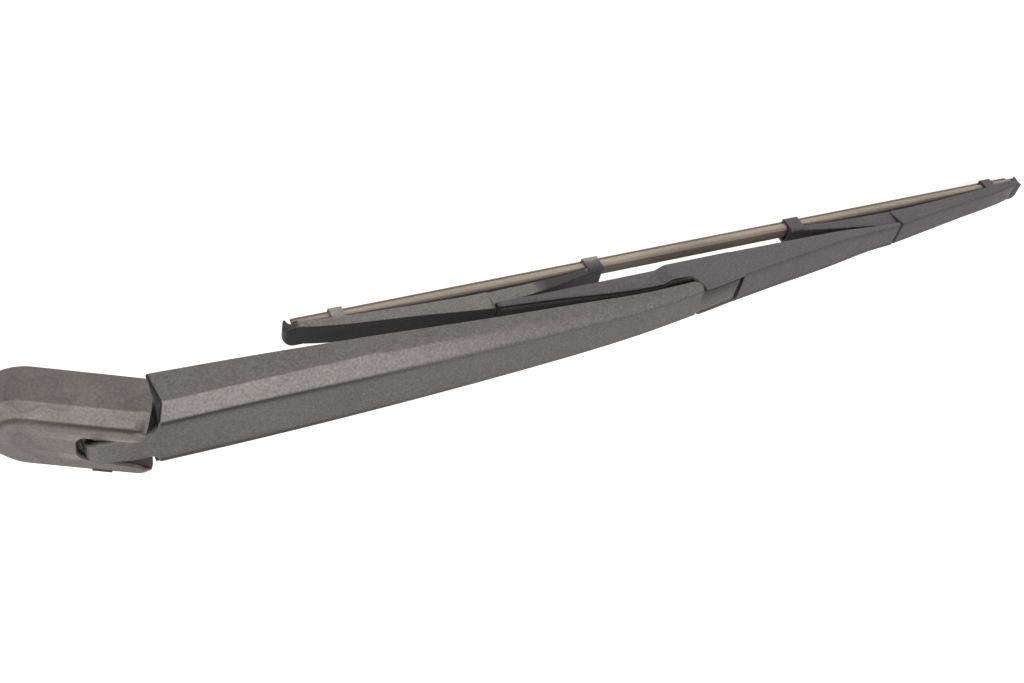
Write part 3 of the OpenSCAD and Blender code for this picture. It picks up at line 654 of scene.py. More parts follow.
@dataclass
class HeadCap:
    """The cap over the head: a round end, chamfered sides and a slot for the neck."""

    paint: Paint
    width: float = 34.0
    face_width: float = 20.0
    top: float = 18.0
    wall: float = 1.6
    end_radius: float = 14.2
    end_turn: float = math.radians(32)
    slot_half: float = 5.7
    slot_left: float = 15.0
    slot_corner: float = 3.6
    slot_flare: float = 5.0
    slot_far_room: float = 1.6
    right: float = 38.2
    taper: float = 0.95
    chamfer_depth: float = 4.3
    ribs: tuple[float, float] = (5.0, 15.0)

    def ring(self, z: np.ndarray, half: np.ndarray, right: float, corner: float = 2.6) -> np.ndarray:
        """Plan outlines of the cap at several heights.

        Args:
            z: the heights.
            half: the half-width at each height.
            right: where the straight sides end.
            corner: the radius of the plan corners at the right end, which grows above the side.

        Returns:
            Rings shaped (heights, points, 3): half a circle about the spindle, then the two corners.
        """
        a = np.linspace(math.pi / 2, 3 * math.pi / 2, 49)
        q = np.linspace(-math.pi / 2, 0, 7)
        w, level = np.asarray(half, float)[:, None], np.asarray(z, float)[:, None]
        high = eased((level - 11) / 4)
        c = np.minimum(corner + 2.6 * high, 0.7 * w)
        edge = right - 0.9 * high - c
        x = np.concatenate([w * np.cos(a), edge + c * np.cos(q), edge - c * np.sin(q)], axis=1)
        y = np.concatenate([w * np.sin(a), c - w + c * np.sin(q), w - c + c * np.cos(q)], axis=1)
        return np.stack([x, y, np.broadcast_to(level, x.shape)], axis=-1)

    def profile(self) -> tuple[np.ndarray, np.ndarray]:
        """Height and half-width up the side and chamfer, over a shallow valley, to the face.

        Returns:
            The heights, and the half-width at each.
        """
        side, face, foot, top = self.width / 2, self.face_width / 2, CAP_FOOT, self.top
        outline = np.array([[[side - 0.5, foot], [side, foot + 0.5],
                             [side - self.taper, top - self.chamfer_depth], [face + 1.3, top - 0.9],
                             [face + 0.7, top - 0.75], [face - 0.2, top], [face - 3.0, top]]])
        p = rounded(outline, np.array([0.3, 0.4, 1.1, 0.35, 0.35, 0.8, 0.0]), 5)[0, :-6]
        inward = np.array([face - 2.2, 5.0, 2.5, 0.4])
        return np.append(p[:, 1], np.full(4, top)), np.append(p[:, 0], inward)

    def slot_plan(self) -> np.ndarray:
        """The slot in plan, with a flared mouth, and wider on the neck's far side.

        Returns:
            Points shaped (n, 2), closed.
        """
        left, half, far = self.slot_left, self.slot_half, HINGE[0] + self.end_radius + 4
        flare, r = self.slot_flare, self.slot_corner
        mouth = HINGE[0] + self.end_radius - 0.4
        a = np.linspace(0, math.pi / 2, 13)
        corner_low = np.stack([left + r * (1 - np.cos(a)), -half + r * (1 - np.sin(a))], axis=1)
        flare_low = np.stack([mouth - flare + flare * np.sin(a), -half - flare + flare * np.cos(a)], axis=1)
        low = np.concatenate([corner_low, flare_low, [[far, -half - flare]]])
        room = self.slot_far_room * eased((low[:, 0] - left - 4) / 6)
        wide = low - np.stack([0 * room, room], axis=1)
        return np.concatenate([wide, low[::-1] * [1, -1]])

    def weather_and_painted_light(self, p: np.ndarray, n: np.ndarray) -> np.ndarray:
        """Faded and painted lighter on the chamfer, standing in for its highlight, painted shade along the
        valley, and black inside and in the slot, for unfaded plastic and painted shade, with painted light
        on the slot's far wall at its mouth.

        Args:
            p: points in mm, shaped (n, 3).
            n: their normals.

        Returns:
            The weathering and painted light and shade at each point.
        """
        reach = np.where(p[:, 0] < 0, np.hypot(p[:, 0], p[:, 1]), np.abs(p[:, 1]))
        slope = np.degrees(np.arctan2(n[:, 2], np.hypot(n[:, 0] * (p[:, 0] < 0), n[:, 1]) + 1e-6))
        # Faded by sun and painted lighter on the chamfer, standing in for the highlight it catches.
        chamfer = 0.95 * eased((28 - np.abs(slope - 52)) / 14)
        # Painted shade along the valley where the chamfer meets the face.
        valley = eased(1.2 - np.abs(reach - self.face_width / 2 - 0.6) / 0.8) * (p[:, 2] > self.top - 1.6)
        valley = valley * (0.5 + 0.4 * eased((p[:, 0] + 4) / 30))
        face = 0.35 * (slope > 80) * (p[:, 2] > self.top - 0.3)
        outward = n[:, 1] * p[:, 1] + n[:, 2] * (p[:, 2] - 9) + n[:, 0] * np.minimum(p[:, 0], 0)
        # Black inside and in the slot: unfaded plastic and painted shade.
        inner = (np.abs(p[:, 1]) < self.slot_half + 0.1) & (np.abs(n[:, 2]) < 0.5)
        inner = inner | (outward < -0.5)
        # Painted light on the slot's far wall at its mouth, which faces the lamps.
        mouth = eased((p[:, 0] - 28) / 6) * (p[:, 1] < 0)
        return np.where(inner, 0.7 * mouth - 0.9, np.where(valley > 0.02, -valley, chamfer + face))

    def build(self) -> bpy.types.Object:
        """Builds the cap and lets it stand for its solid.

        Returns:
            The finished cap.
        """
        z, half = self.profile()
        shell = Skin()
        shell.loft(self.ring(z, half, self.right))
        cap = shell.mesh("cap_shell", Place.HEAD)
        inside = Skin()
        levels = np.array([CAP_FOOT - 1, self.top - 4.9, self.top - self.wall])
        room = self.width / 2 - self.wall
        widths = np.array([room, room - 0.9, self.face_width / 2 - 0.6])
        inside.loft(self.ring(levels, widths, HINGE[0] + self.end_radius + 2, 1.5))
        cut(cap, inside.mesh("cap_inside", Place.HEAD))
        slot = Skin()
        plan = self.slot_plan()
        heights = (-4.0, self.top + 4.0)
        slot.loft(np.array([np.column_stack([plan, np.full(len(plan), h)]) for h in heights]))
        cut(cap, slot.mesh("cap_slot", Place.HEAD))
        cut(cap, self.end_cutter())
        for x in self.ribs:
            for side in (-1, 1):
                rib = Skin()
                low, high = sorted((side * 9.4, side * (self.width / 2 - 1.5)))
                rib.block((x - 0.7, low, 3.0), (x + 0.7, high, 13.0), 0.05)
                join(cap, rib.mesh("cap_rib", Place.HEAD))
        tab = Skin()
        tab.block((HINGE[0] - 3.4, -0.1, -1.0), (HINGE[0] + 2.6, 2.3, 0.8), 0.8)
        tab.points = [p @ TAB_TURN.T + [0, -self.face_width / 2 - 1.8, self.top - 1.6] for p in tab.points]
        join(cap, tab.mesh("cap_tab", Place.HEAD))
        store_weather_and_painted_light(cap, Place.HEAD, self.weather_and_painted_light)
        bevel = cap.modifiers.new("moulded edges", "BEVEL")
        bevel.width = 0.5 * MM
        bevel.segments = 3
        bevel.limit_method = "ANGLE"
        bevel.angle_limit = math.radians(48)
        bevel.harden_normals = True
        crisp(cap)
        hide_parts("head_cap")
        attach(cap, "head")
        self.paint.dress(cap, "cap_plastic")
        log.info("cap: %d faces", len(cap.data.polygons))
        return cap

    def end_cutter(self) -> bpy.types.Object:
        """The block that rounds the cap's right end about the hinge pin.

        Returns:
            The block, to be cut away.
        """
        a = np.linspace(-self.end_turn, math.pi / 2 - 0.05, 60)
        arc = np.stack([np.cos(a), np.sin(a)], axis=1) * self.end_radius + [HINGE[0], HINGE[2]]
        place = HINGE[0] + self.end_radius - 4.1
        foot = np.array([[place, 0.0], [place, -30.0]])
        outline = np.concatenate([foot[::-1], arc, [[arc[-1, 0], 50.0], [70.0, 50.0], [70.0, -30.0]]])
        rings = np.array([np.stack([outline[:, 0], np.full(len(outline), y), outline[:, 1]], axis=1)
                          for y in (-40.0, 40.0)])
        block = Skin()
        block.loft(rings)
        return block.mesh("cap_end", Place.HEAD)


def applied(piece: bpy.types.Object) -> None:
    """Replaces a piece's mesh by what its modifiers give, and removes them.

    Args:
        piece: the object.
    """
    depsgraph = bpy.context.evaluated_depsgraph_get()
    result = bpy.data.meshes.new_from_object(piece.evaluated_get(depsgraph))
    piece.modifiers.clear()
    piece.data = result


def cut(piece: bpy.types.Object, cutter: bpy.types.Object) -> None:
    """Cuts one closed piece by another, which is then deleted.

    Args:
        piece: the object that is cut.
        cutter: what is taken out of it.
    """
    boolean = piece.modifiers.new("cut", "BOOLEAN")
    boolean.operation = "DIFFERENCE"
    boolean.solver = "EXACT"
    boolean.object = cutter
    applied(piece)
    bpy.data.objects.remove(cutter)
    piece.data.polygons.foreach_set("use_smooth", np.ones(len(piece.data.polygons), bool))
    piece.data.set_sharp_from_angle(angle=SHARP)


def join(piece: bpy.types.Object, other: bpy.types.Object) -> None:
    """Adds another object's faces to a piece and deletes the other.

    Args:
        piece: the object that is added to.
        other: what it takes up.
    """
    bm = bmesh.new()
    bm.from_mesh(piece.data)
    bm.from_mesh(other.data)
    bm.to_mesh(piece.data)
    bm.free()
    bpy.data.objects.remove(other)


@dataclass
class Arm:
    """The moulded arm: a channel open to the glass, its neck, and the tongue over the blade."""

    paint: Paint
    shoulder: float = 14.6
    pivot: float = PIVOT[0]
    wall: float = 1.8
    roof: float = 2.2
    channel_gap: float = 11.2
    neck_half: float = 5.0
    neck_thick: float = 2.0
    neck_tip: float = 4.0
    neck_flare: float = 4.6
    knuckle: float = 7.8
    roll_power: float = 2 / 3.0
    ear: float = 5.0
    cut_depth: float = 1.6
    cut_length: float = 12.0
    tongue_half: float = 5.9
    tongue_thick: float = 2.6
    tongue_reach: float = 6.9
    lug: float = 4.3
    rib: float = 3.1
    retainer: tuple[float, float] = (62.0, 0.2)

    def face_line(self, x: np.ndarray) -> np.ndarray:
        """Height of the outer face along the arm."""
        p = self.pivot
        return spline([(0, 7.8), (self.shoulder, 7.8), (46, 7.6), (86, 7.2), (126, 6.2), (166, 4.5),
                       (p - 36, 2.5), (p - 6, -1.5), (p + 10, -4.1)], x)

    def corners(self, x: np.ndarray) -> tuple[np.ndarray, ...]:
        """Half-width and height of the open edge, the chamfer's foot and the face's edge.

        Args:
            x: places along the arm.

        Returns:
            The rim, the foot and the face's edge, each its half-width and its height.
        """
        p = self.pivot
        face = spline([(0, 9.8), (46, 10.2), (86, 9.6), (126, 8.8), (166, 8.1), (p - 36, 7.4), (p, 7.0)], x)
        foot = spline([(0, 15.2), (46, 15.4), (86, 15.0), (126, 13.7), (166, 11.4), (p - 36, 9.0),
                       (p - 13, 7.7)], x)
        foot_z = spline([(0, 4.2), (46, 3.6), (86, 2.8), (126, 2.0), (166, 0.8), (p - 36, -0.6),
                         (p - 13, -2.6), (p - self.channel_gap, -2.1)], x)
        rim = spline([(0, 16.0), (46, 16.1), (86, 15.7), (126, 14.2), (166, 12.0), (p - 36, 9.5),
                      (p - 13, 8.2)], x)
        rim_z = spline([(0, -8.5), (46, -6.8), (86, -5.0), (126, -3.5), (166, -3.1), (p - 36, -3.6),
                        (p - 16, -4.8), (p - 13, -4.7), (p - self.channel_gap, -2.8)], x)
        return rim, rim_z, foot, foot_z, face, self.face_line(x)

    def channel(self, x: np.ndarray, shrink: np.ndarray) -> np.ndarray:
        """Closed outlines of the channel's wall, drawn in by shrink near its ends.

        Args:
            x: places along the arm.
            shrink: how far the outside is drawn in at each place.

        Returns:
            Outlines shaped (places, points, 2).
        """
        rim, rim_z, foot, foot_z, face, face_z = self.corners(x)
        s, w = shrink, self.wall
        half = [(rim - s, rim_z + 0 * s), (foot - s, foot_z - 0.4 * s), (face - s, face_z - s),
                (face - 2.4 - s, face_z - s), (face - 5.0 - s, face_z - s)]
        inner = [(face - 0.55 * w, face_z - self.roof), (foot - w, foot_z - 0.8), (rim - w, rim_z + 0 * s)]
        outline = half + [(-a, b) for a, b in half[::-1]] + [(-a, b) for a, b in inner[::-1]] + inner
        grow = eased((x - 70) / 60)
        radii = [0.4 + 0 * x, 1.0 + 5.0 * grow, 1.1 + 0.3 * grow, 0.05 + 0 * x, 0.05 + 0 * x]
        inside = [0.8 + 0 * x, 0.8 + 0 * x, 0.4 + 0 * x]
        r = radii + radii[::-1] + inside[::-1] + inside
        return rounded(gathered(outline), np.stack(r, axis=1))

    def cut_back(self, rings: np.ndarray) -> np.ndarray:
        """Draws the root's side edges back towards the tip, most at half their height.

        Args:
            rings: the channel's rings.

        Returns:
            Rings of the same shape.
        """
        x, z = rings[..., 0], rings[..., 2]
        depth = self.cut_depth * np.interp(z, [-7.5, -2.0, 4.2, 7.6], [0.0, 1.0, 1.0, 0.0])
        fade = np.clip(1 - (x - self.shoulder) / self.cut_length, 0, 1)
        return np.stack([x + depth * fade, rings[..., 1], z], axis=-1)

    def end_wall(self, skin: Skin) -> None:
        """Closes the channel inside its cut-back root.

        Args:
            skin: the piece to add to.
        """
        x = np.array([self.shoulder + 0.05, self.shoulder + 2.4])
        rim, rim_z, foot, foot_z, face, face_z = self.corners(x)
        half = [(rim - 0.5, rim_z), (foot - 0.5, foot_z - 0.2), (face - 0.5, face_z - 0.5)]
        outline = half + [(-a, b) for a, b in half[::-1]]
        skin.loft(along_x(x, gathered(outline)))

    def neck(self, skin: Skin) -> None:
        """Adds the neck: an outer plate rolled round the hinge and flared into the face, and two ears.

        The plate's section is a rounded strip in width and depth. Its depth runs towards the hinge
        round the knuckle, and straight down beyond it. The roll is squarer than a circle, and the
        plate is wider on the far side, by the table in wide.

        Args:
            skin: the piece to add to.
        """
        r, half, thick = self.knuckle, self.neck_half, self.neck_thick
        tip_r, flare = self.neck_tip, self.neck_flare
        turn = np.linspace(0, math.pi / 2, 25)[:-1]
        sweep = np.linspace(0, math.pi / 2, 12)
        roll = r * np.stack([-np.cos(turn) ** self.roll_power, np.sin(turn) ** self.roll_power], axis=1)
        x = np.concatenate([roll[:, 0], np.linspace(0, self.shoulder - flare - 0.3, 8),
                            self.shoulder - flare + flare * np.sin(sweep), [self.shoulder + 1.6]])
        level = len(x) - len(roll)
        down = np.concatenate([-roll / np.linalg.norm(roll, axis=1)[:, None],
                               np.tile([0.0, -1.0], (level, 1))])
        out_z = np.concatenate([roll[:, 1], np.full(level, r - 0.03)])
        tip = np.clip(tip_r - r - x, 0, tip_r * 0.995)
        spread = np.clip(x - self.shoulder + flare, 0, flare)
        width = half - tip_r + np.sqrt(tip_r**2 - tip**2) + flare - np.sqrt(flare**2 - spread**2)
        wide = width + np.interp(x, [1, 5, 9, 12, self.shoulder], [0.0, 1.3, 1.8, 1.3, 0.0])
        zero = 0 * x
        strip = gathered([(width, zero), (width, zero + thick), (-wide, zero + thick), (-wide, zero)])
        strip = rounded(strip, np.array([0.7, 0.2, 0.2, 0.7]), 4)
        depth = strip[..., 1]
        place, height = x[:, None] + down[:, :1] * depth, out_z[:, None] + down[:, 1:] * depth
        skin.loft(np.stack([place, strip[..., 0], height], axis=-1))
        end, inner = self.shoulder + 2.2, r - thick + 0.1
        low = np.linspace(math.pi, 3 * math.pi / 2, 17)
        back = np.linspace(math.pi / 2, math.pi * 0.97, 17)
        outline = np.concatenate([self.ear * np.stack([np.cos(low), np.sin(low)], axis=1),
                                  [[end, -self.ear], [end, inner]],
                                  inner * np.stack([np.cos(back), np.sin(back)], axis=1)])
        skin.plates(outline, half - 1.7, half, 0.1)

    def weather_and_painted_light(self, p: np.ndarray, n: np.ndarray) -> np.ndarray:
        """Faded and painted lighter on the chamfers, standing in for their highlight, painted shade on the
        face beside them, black inside for unfaded plastic and painted shade, and painted shade in the
        recess at the root and along the tongue's edges.

        Args:
            p: points in mm, shaped (n, 3).
            n: their normals.

        Returns:
            The weathering and painted light and shade at each point.
        """
        rim, _, foot, foot_z, face, face_z = self.corners(p[:, 0])
        y = np.abs(p[:, 1])
        slope = lean(n)
        down = (y - face) / (foot - face)
        along = eased((p[:, 0] - 60) / 120)
        # Faded by sun and painted lighter on the chamfers, standing in for their highlight.
        chamfer = eased((down + 0.02) / 0.12) * eased((1.1 - down) / (0.12 + 0.5 * along))
        chamfer = chamfer * (p[:, 2] > foot_z - 0.6)
        # Painted shade on the face just beside the chamfer's crease.
        beside = 0.9 * np.interp(face - y, [-0.4, 1.3, 2.4, 5.0], [1.0, 0.8, 0.3, 0.0])
        beside = beside * eased((slope - 66) / 12) * (1 - 0.6 * eased((p[:, 0] - 40) / 110))
        # Black inside: unfaded plastic and painted shade.
        outward = n[:, 1] * p[:, 1] / 16 + n[:, 2] * np.where(y > face - 0.8, 0.4, 1.0)
        low = (p[:, 2] < face_z - 1.4) & (y < face - 1.0)
        inner = (outward < -0.1) | low
        up = np.maximum(0, (p[:, 2] - foot_z) / (face_z - foot_z))
        wall = foot + (face - foot) * up
        # Painted shade in the recess at the cut-back root.
        root = (n[:, 0] < -0.35) | (y < wall - 0.35)
        root = root & (np.abs(p[:, 0] - self.shoulder - 1.1) < 1.5) & (p[:, 2] < face_z - 0.4)
        out = (0.9 - 0.7 * along) * chamfer - beside
        radial = n[:, 0] * np.minimum(p[:, 0], 0) + n[:, 2] * p[:, 2]
        neck = (p[:, 0] < self.shoulder + 0.05) & (p[:, 2] > 0.3) & (radial > 0.5) & (n[:, 0] > -0.9)
        neck = neck & ((p[:, 0] < self.shoulder - 0.05) | (p[:, 2] > face_z - 0.1))
        inner = inner & ~neck
        tongue = p[:, 0] > self.pivot - 11.0
        tongue_edge = (p[:, 0] > self.pivot + self.tongue_reach - 0.4) | (p[:, 1] > self.tongue_half - 1.0)
        # Painted shade along the tongue's edges, in the gaps beside it.
        painted_gap_shade = np.where(tongue_edge, -0.8, 0.1)
        out = np.where(tongue, painted_gap_shade, np.where(neck, 0.0, out))
        return np.where(inner | root, -0.95, out)

    def tongue(self, skin: Skin) -> None:
        """Adds the tongue over the blade's pivot, and the two lugs that hold the adapter.

        Args:
            skin: the piece to add to.
        """
        px, end = self.pivot, self.pivot + self.tongue_reach
        x = np.concatenate([np.linspace(px - 34, end - 0.6, 25), [end - 0.15, end]])
        inset = np.concatenate([np.zeros(25), [0.15, 0.5]])
        half, top = self.tongue_half - inset, self.face_line(x) - 0.03 - inset
        low = top - self.tongue_thick + 2 * inset
        outline = gathered([(half, low), (half, top), (-half, top), (-half, low)])
        skin.loft(along_x(x, rounded(outline, np.array([0.4, 0.8, 0.8, 0.4]))))
        tops = self.face_line(px + self.lug * np.array([1, -1])) - 1.5
        skin.plates(lug(px, PIVOT[2], self.lug, tops, 25), 3.6, 5.6, 0.2)

    def ribs(self, skin: Skin) -> None:
        """Adds the two ribs that hold the spring's retainer pin."""
        cx, cz = self.retainer
        roof = self.face_line(np.array([cx, cx])) - 1.0
        skin.plates(lug(cx, cz, self.rib, roof), 4.8, 6.8, 0.2)

    def build(self) -> bpy.types.Object:
        """Builds the arm and lets it stand for its solid.

        Returns:
            The finished arm.
        """
        skin = Skin()
        start = self.shoulder + np.array([0.0, 0.12, 0.4, 0.9])
        end = self.pivot - self.channel_gap + np.array([-1.0, -0.4, -0.1, 0.0])
        x = np.concatenate([start, np.linspace(self.shoulder + 3, end[-1] - 6, 92),
                            np.linspace(end[-1] - 5, end[0], 9), end[1:]])
        shrink = np.interp(x, np.concatenate([start, end]), [0.55, 0.3, 0.1, 0, 0, 0.05, 0.15, 0.35])
        skin.loft(self.cut_back(along_x(x, self.channel(x, shrink))))
        self.end_wall(skin)
        self.neck(skin)
        self.tongue(skin)
        self.ribs(skin)
        arm = crisp(skin.mesh("arm_body", Place.ARM))
        store_weather_and_painted_light(arm, Place.ARM, self.weather_and_painted_light)
        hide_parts("arm_shell")
        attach(arm, "arm")
        self.paint.dress(arm, "arm_plastic")
        log.info("arm: %d faces", len(arm.data.polygons))
        return arm


@dataclass
class Bridge:
    """The blade's bridge: slim under the arm, cheeks beside the tongue, and a tapering outer half."""

    paint: Paint
    arm: Arm
    half_length: float = 90.0
    wall: float = 1.3
    skin_depth: float = 1.3
    cheek_half: float = 7.6
    slim_half: float = 5.5
    end_half: float = 5.9
    step: tuple[float, float] = (-24.5, -20.9)
    rise: tuple[float, float] = (-13.4, 4.2)
    slot_end: float = 8.6
    roof_end: float = -6.5
    band: float = 2.2
    tooth: float = 0.5
    tooth_pitch: float = 1.1
    lug: float = 2.3

    def low_line(self, x: np.ndarray) -> np.ndarray:
        """Height of the roof on the slim side."""
        e = self.half_length
        return spline([(-e, -3.5), (-0.73 * e, -1.5), (-0.51 * e, 0.8), (-0.36 * e, 1.7), (-12.6, 2.0)], x)

    def lead_line(self, x: np.ndarray) -> np.ndarray:
        """Height of the roof beyond the tongue."""
        e = self.half_length
        return spline([(0, 8.0), (9, 6.8), (0.32 * e, 4.1), (0.49 * e, 2.2), (0.66 * e, 0.2),
                       (0.82 * e, -1.5), (e, -2.7)], x)

    def top_line(self, x: np.ndarray) -> np.ndarray:
        """Height of the walls: the roof's, raised to the tongue's between them.

        Args:
            x: places along the bridge.

        Returns:
            The height at each place.
        """
        tongue = self.arm.face_line(self.arm.pivot + np.clip(x, -12.0, self.slot_end)) - PIVOT[2]
        start, length = self.rise
        low = self.low_line(x)
        cheeks = low + (tongue - low) * eased((x - start) / length)
        join = eased((x - self.slot_end + 1.6) / 1.6)
        return cheeks * (1 - join) + self.lead_line(x) * join

    def half_width(self, x: np.ndarray) -> np.ndarray:
        """Half-width of the walls' outside: slim, stepped out to the cheeks, tapered to the front yoke.

        Args:
            x: places along the bridge.

        Returns:
            The half-width at each place.
        """
        a, b = self.step
        slim, cheek = self.slim_half, self.cheek_half
        stepped = np.interp(x, [a - 0.5, a, a + 0.4, b - 0.4, b, b + 0.5],
                            [slim, slim + 0.02, slim + 0.3, cheek - 0.3, cheek - 0.02, cheek])
        return stepped + (self.end_half - cheek) * eased((x / self.half_length - 0.61) * 3)

    def foot_line(self, x: np.ndarray) -> np.ndarray:
        """Height of the open edge."""
        return np.interp(x, [8, self.half_length], [-5.4, -4.4]) - 0.2 * (x < 8)

    def stations(self) -> np.ndarray:
        """Places along the bridge, closer where its shape changes.

        Returns:
            The places, in rising order.
        """
        e, (a, b) = self.half_length, self.step
        marks = [[-e, -e + 0.12, -e + 0.4], np.linspace(-e + 2, a - 0.5, 32), np.linspace(a, b, 9),
                 [b + 0.5, -17.0], np.linspace(-15, 12, 82), np.linspace(13, e - 1, 50),
                 [e - 0.4, e - 0.12, e]]
        return np.concatenate(marks)

    def walls(self, skin: Skin) -> None:
        """Adds the two side walls over the whole length.

        Args:
            skin: the piece to add to.
        """
        x = self.stations()
        e = self.half_length
        trim = np.interp(x, [-e, -e + 0.12, -e + 0.4, e - 0.4, e - 0.12, e], [0.3, 0.1, 0, 0, 0.1, 0.3])
        half, top, foot = self.half_width(x) - trim, self.top_line(x) - trim, self.foot_line(x)
        inner = half - self.wall
        section = gathered([(half - 0.1, foot), (half, foot + 1.2), (half, top), (inner, top),
                            (inner, foot)])
        section = rounded(section, np.array([0.25, 0.2, 0.75, 0.06, 0.25]), 5)
        for side in (-1, 1):
            skin.loft(along_x(x, section * [side, 1]))

    def roofs(self, skin: Skin) -> None:
        """Adds the two roofs between the walls, and the web that closes the slot's far end.

        Args:
            skin: the piece to add to.
        """
        x = self.stations()
        start = self.slot_end + np.array([0.0, 0.15, 0.4])
        lead = np.concatenate([start, x[x > 9.2]])
        for xs, line in ((x[x <= self.roof_end + 0.1], self.low_line), (lead, self.lead_line)):
            half = self.half_width(xs) - self.wall + 0.04
            drop = np.interp(xs, start, [0.35, 0.1, 0.0]) * (xs > 0) + 0.015
            top, low = line(xs) - drop, line(xs) - self.skin_depth
            right = [(half, low), (half, top), (half - self.band, top)]
            skin.loft(along_x(xs, gathered(right + [(-y, z) for y, z in right[::-1]])))
        inside = self.cheek_half - self.wall + 0.04
        skin.block((self.slot_end + 0.1, -inside, -5.2), (self.slot_end + 1.2, inside, 6.2), 0.1)
        for place in np.arange(-18.5, self.roof_end - 4, self.tooth_pitch):
            height = float(self.low_line(np.array([place]))[0]) - 0.1
            skin.disc(place, height, self.tooth, -4.5, 4.5, 20)

    def lugs(self, skin: Skin) -> None:
        """Adds the two lugs in the middle of the channel that hold the yoke pins."""
        for side, top in ((-1, -4.2), (1, -3.4)):
            skin.plate(lug(side * YOKE_PIN_X, YOKE_PIN_Z, self.lug, [top, top]), -1.7, 1.7, 0.15)

    def weather_and_painted_light(self, p: np.ndarray, n: np.ndarray) -> np.ndarray:
        """Painted shade on the back under the arm, along the ridge and on the walls' ends, and darker in
        the slot and inside, for unfaded plastic and painted shade.

        Args:
            p: points in mm, shaped (n, 3).
            n: their normals.

        Returns:
            The weathering and painted light and shade at each point.
        """
        y = np.abs(p[:, 1])
        slope = lean(n)
        # Painted shade on the back where the arm hangs over it.
        under = eased((-13.0 - p[:, 0]) / 5.0) * eased((slope - 48) / 30)
        edge = self.half_width(p[:, 0]) - y
        # Darker inside and in the slot: unfaded plastic and painted shade.
        inner = (n[:, 1] * p[:, 1] < -0.5) | (n[:, 2] < -0.5) | (edge > self.wall + 0.3)
        roof = (n[:, 2] > 0.5) & (p[:, 0] > self.slot_end + 0.3)
        # Painted shade along the ridge and the face just under it.
        ridge = 0.6 * np.interp(edge, [0.0, 0.7, 1.5, 3.4], [0.5, 1.0, 0.8, 0.35])
        ridge = ridge * eased((slope - 20) / 30) * (p[:, 0] > self.slot_end)
        # Painted shade on the walls' ends, at the gaps to the yokes.
        wall_end = np.abs(p[:, 0]) > self.half_length - 0.6
        far_cheek = (p[:, 1] < 1 - self.slim_half) & (np.abs(p[:, 0]) < self.slot_end + 2)
        far_cheek = far_cheek & (p[:, 2] > self.top_line(p[:, 0]) - 2.6)
        out = np.where((inner & ~roof) | wall_end, -0.9, -ridge - under)
        return np.where(far_cheek, 0.0, out)

    def build(self) -> bpy.types.Object:
        """Builds the bridge and lets it stand for its solid.

        Returns:
            The finished bridge.
        """
        skin = Skin()
        self.walls(skin)
        self.roofs(skin)
        self.lugs(skin)
        bridge = crisp(skin.mesh("bridge_body", Place.BLADE))
        store_weather_and_painted_light(bridge, Place.BLADE, self.weather_and_painted_light)
        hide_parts("blade_bridge")
        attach(bridge, "blade")
        self.paint.dress(bridge, "bridge_plastic")
        log.info("bridge: %d faces", len(bridge.data.polygons))
        return bridge


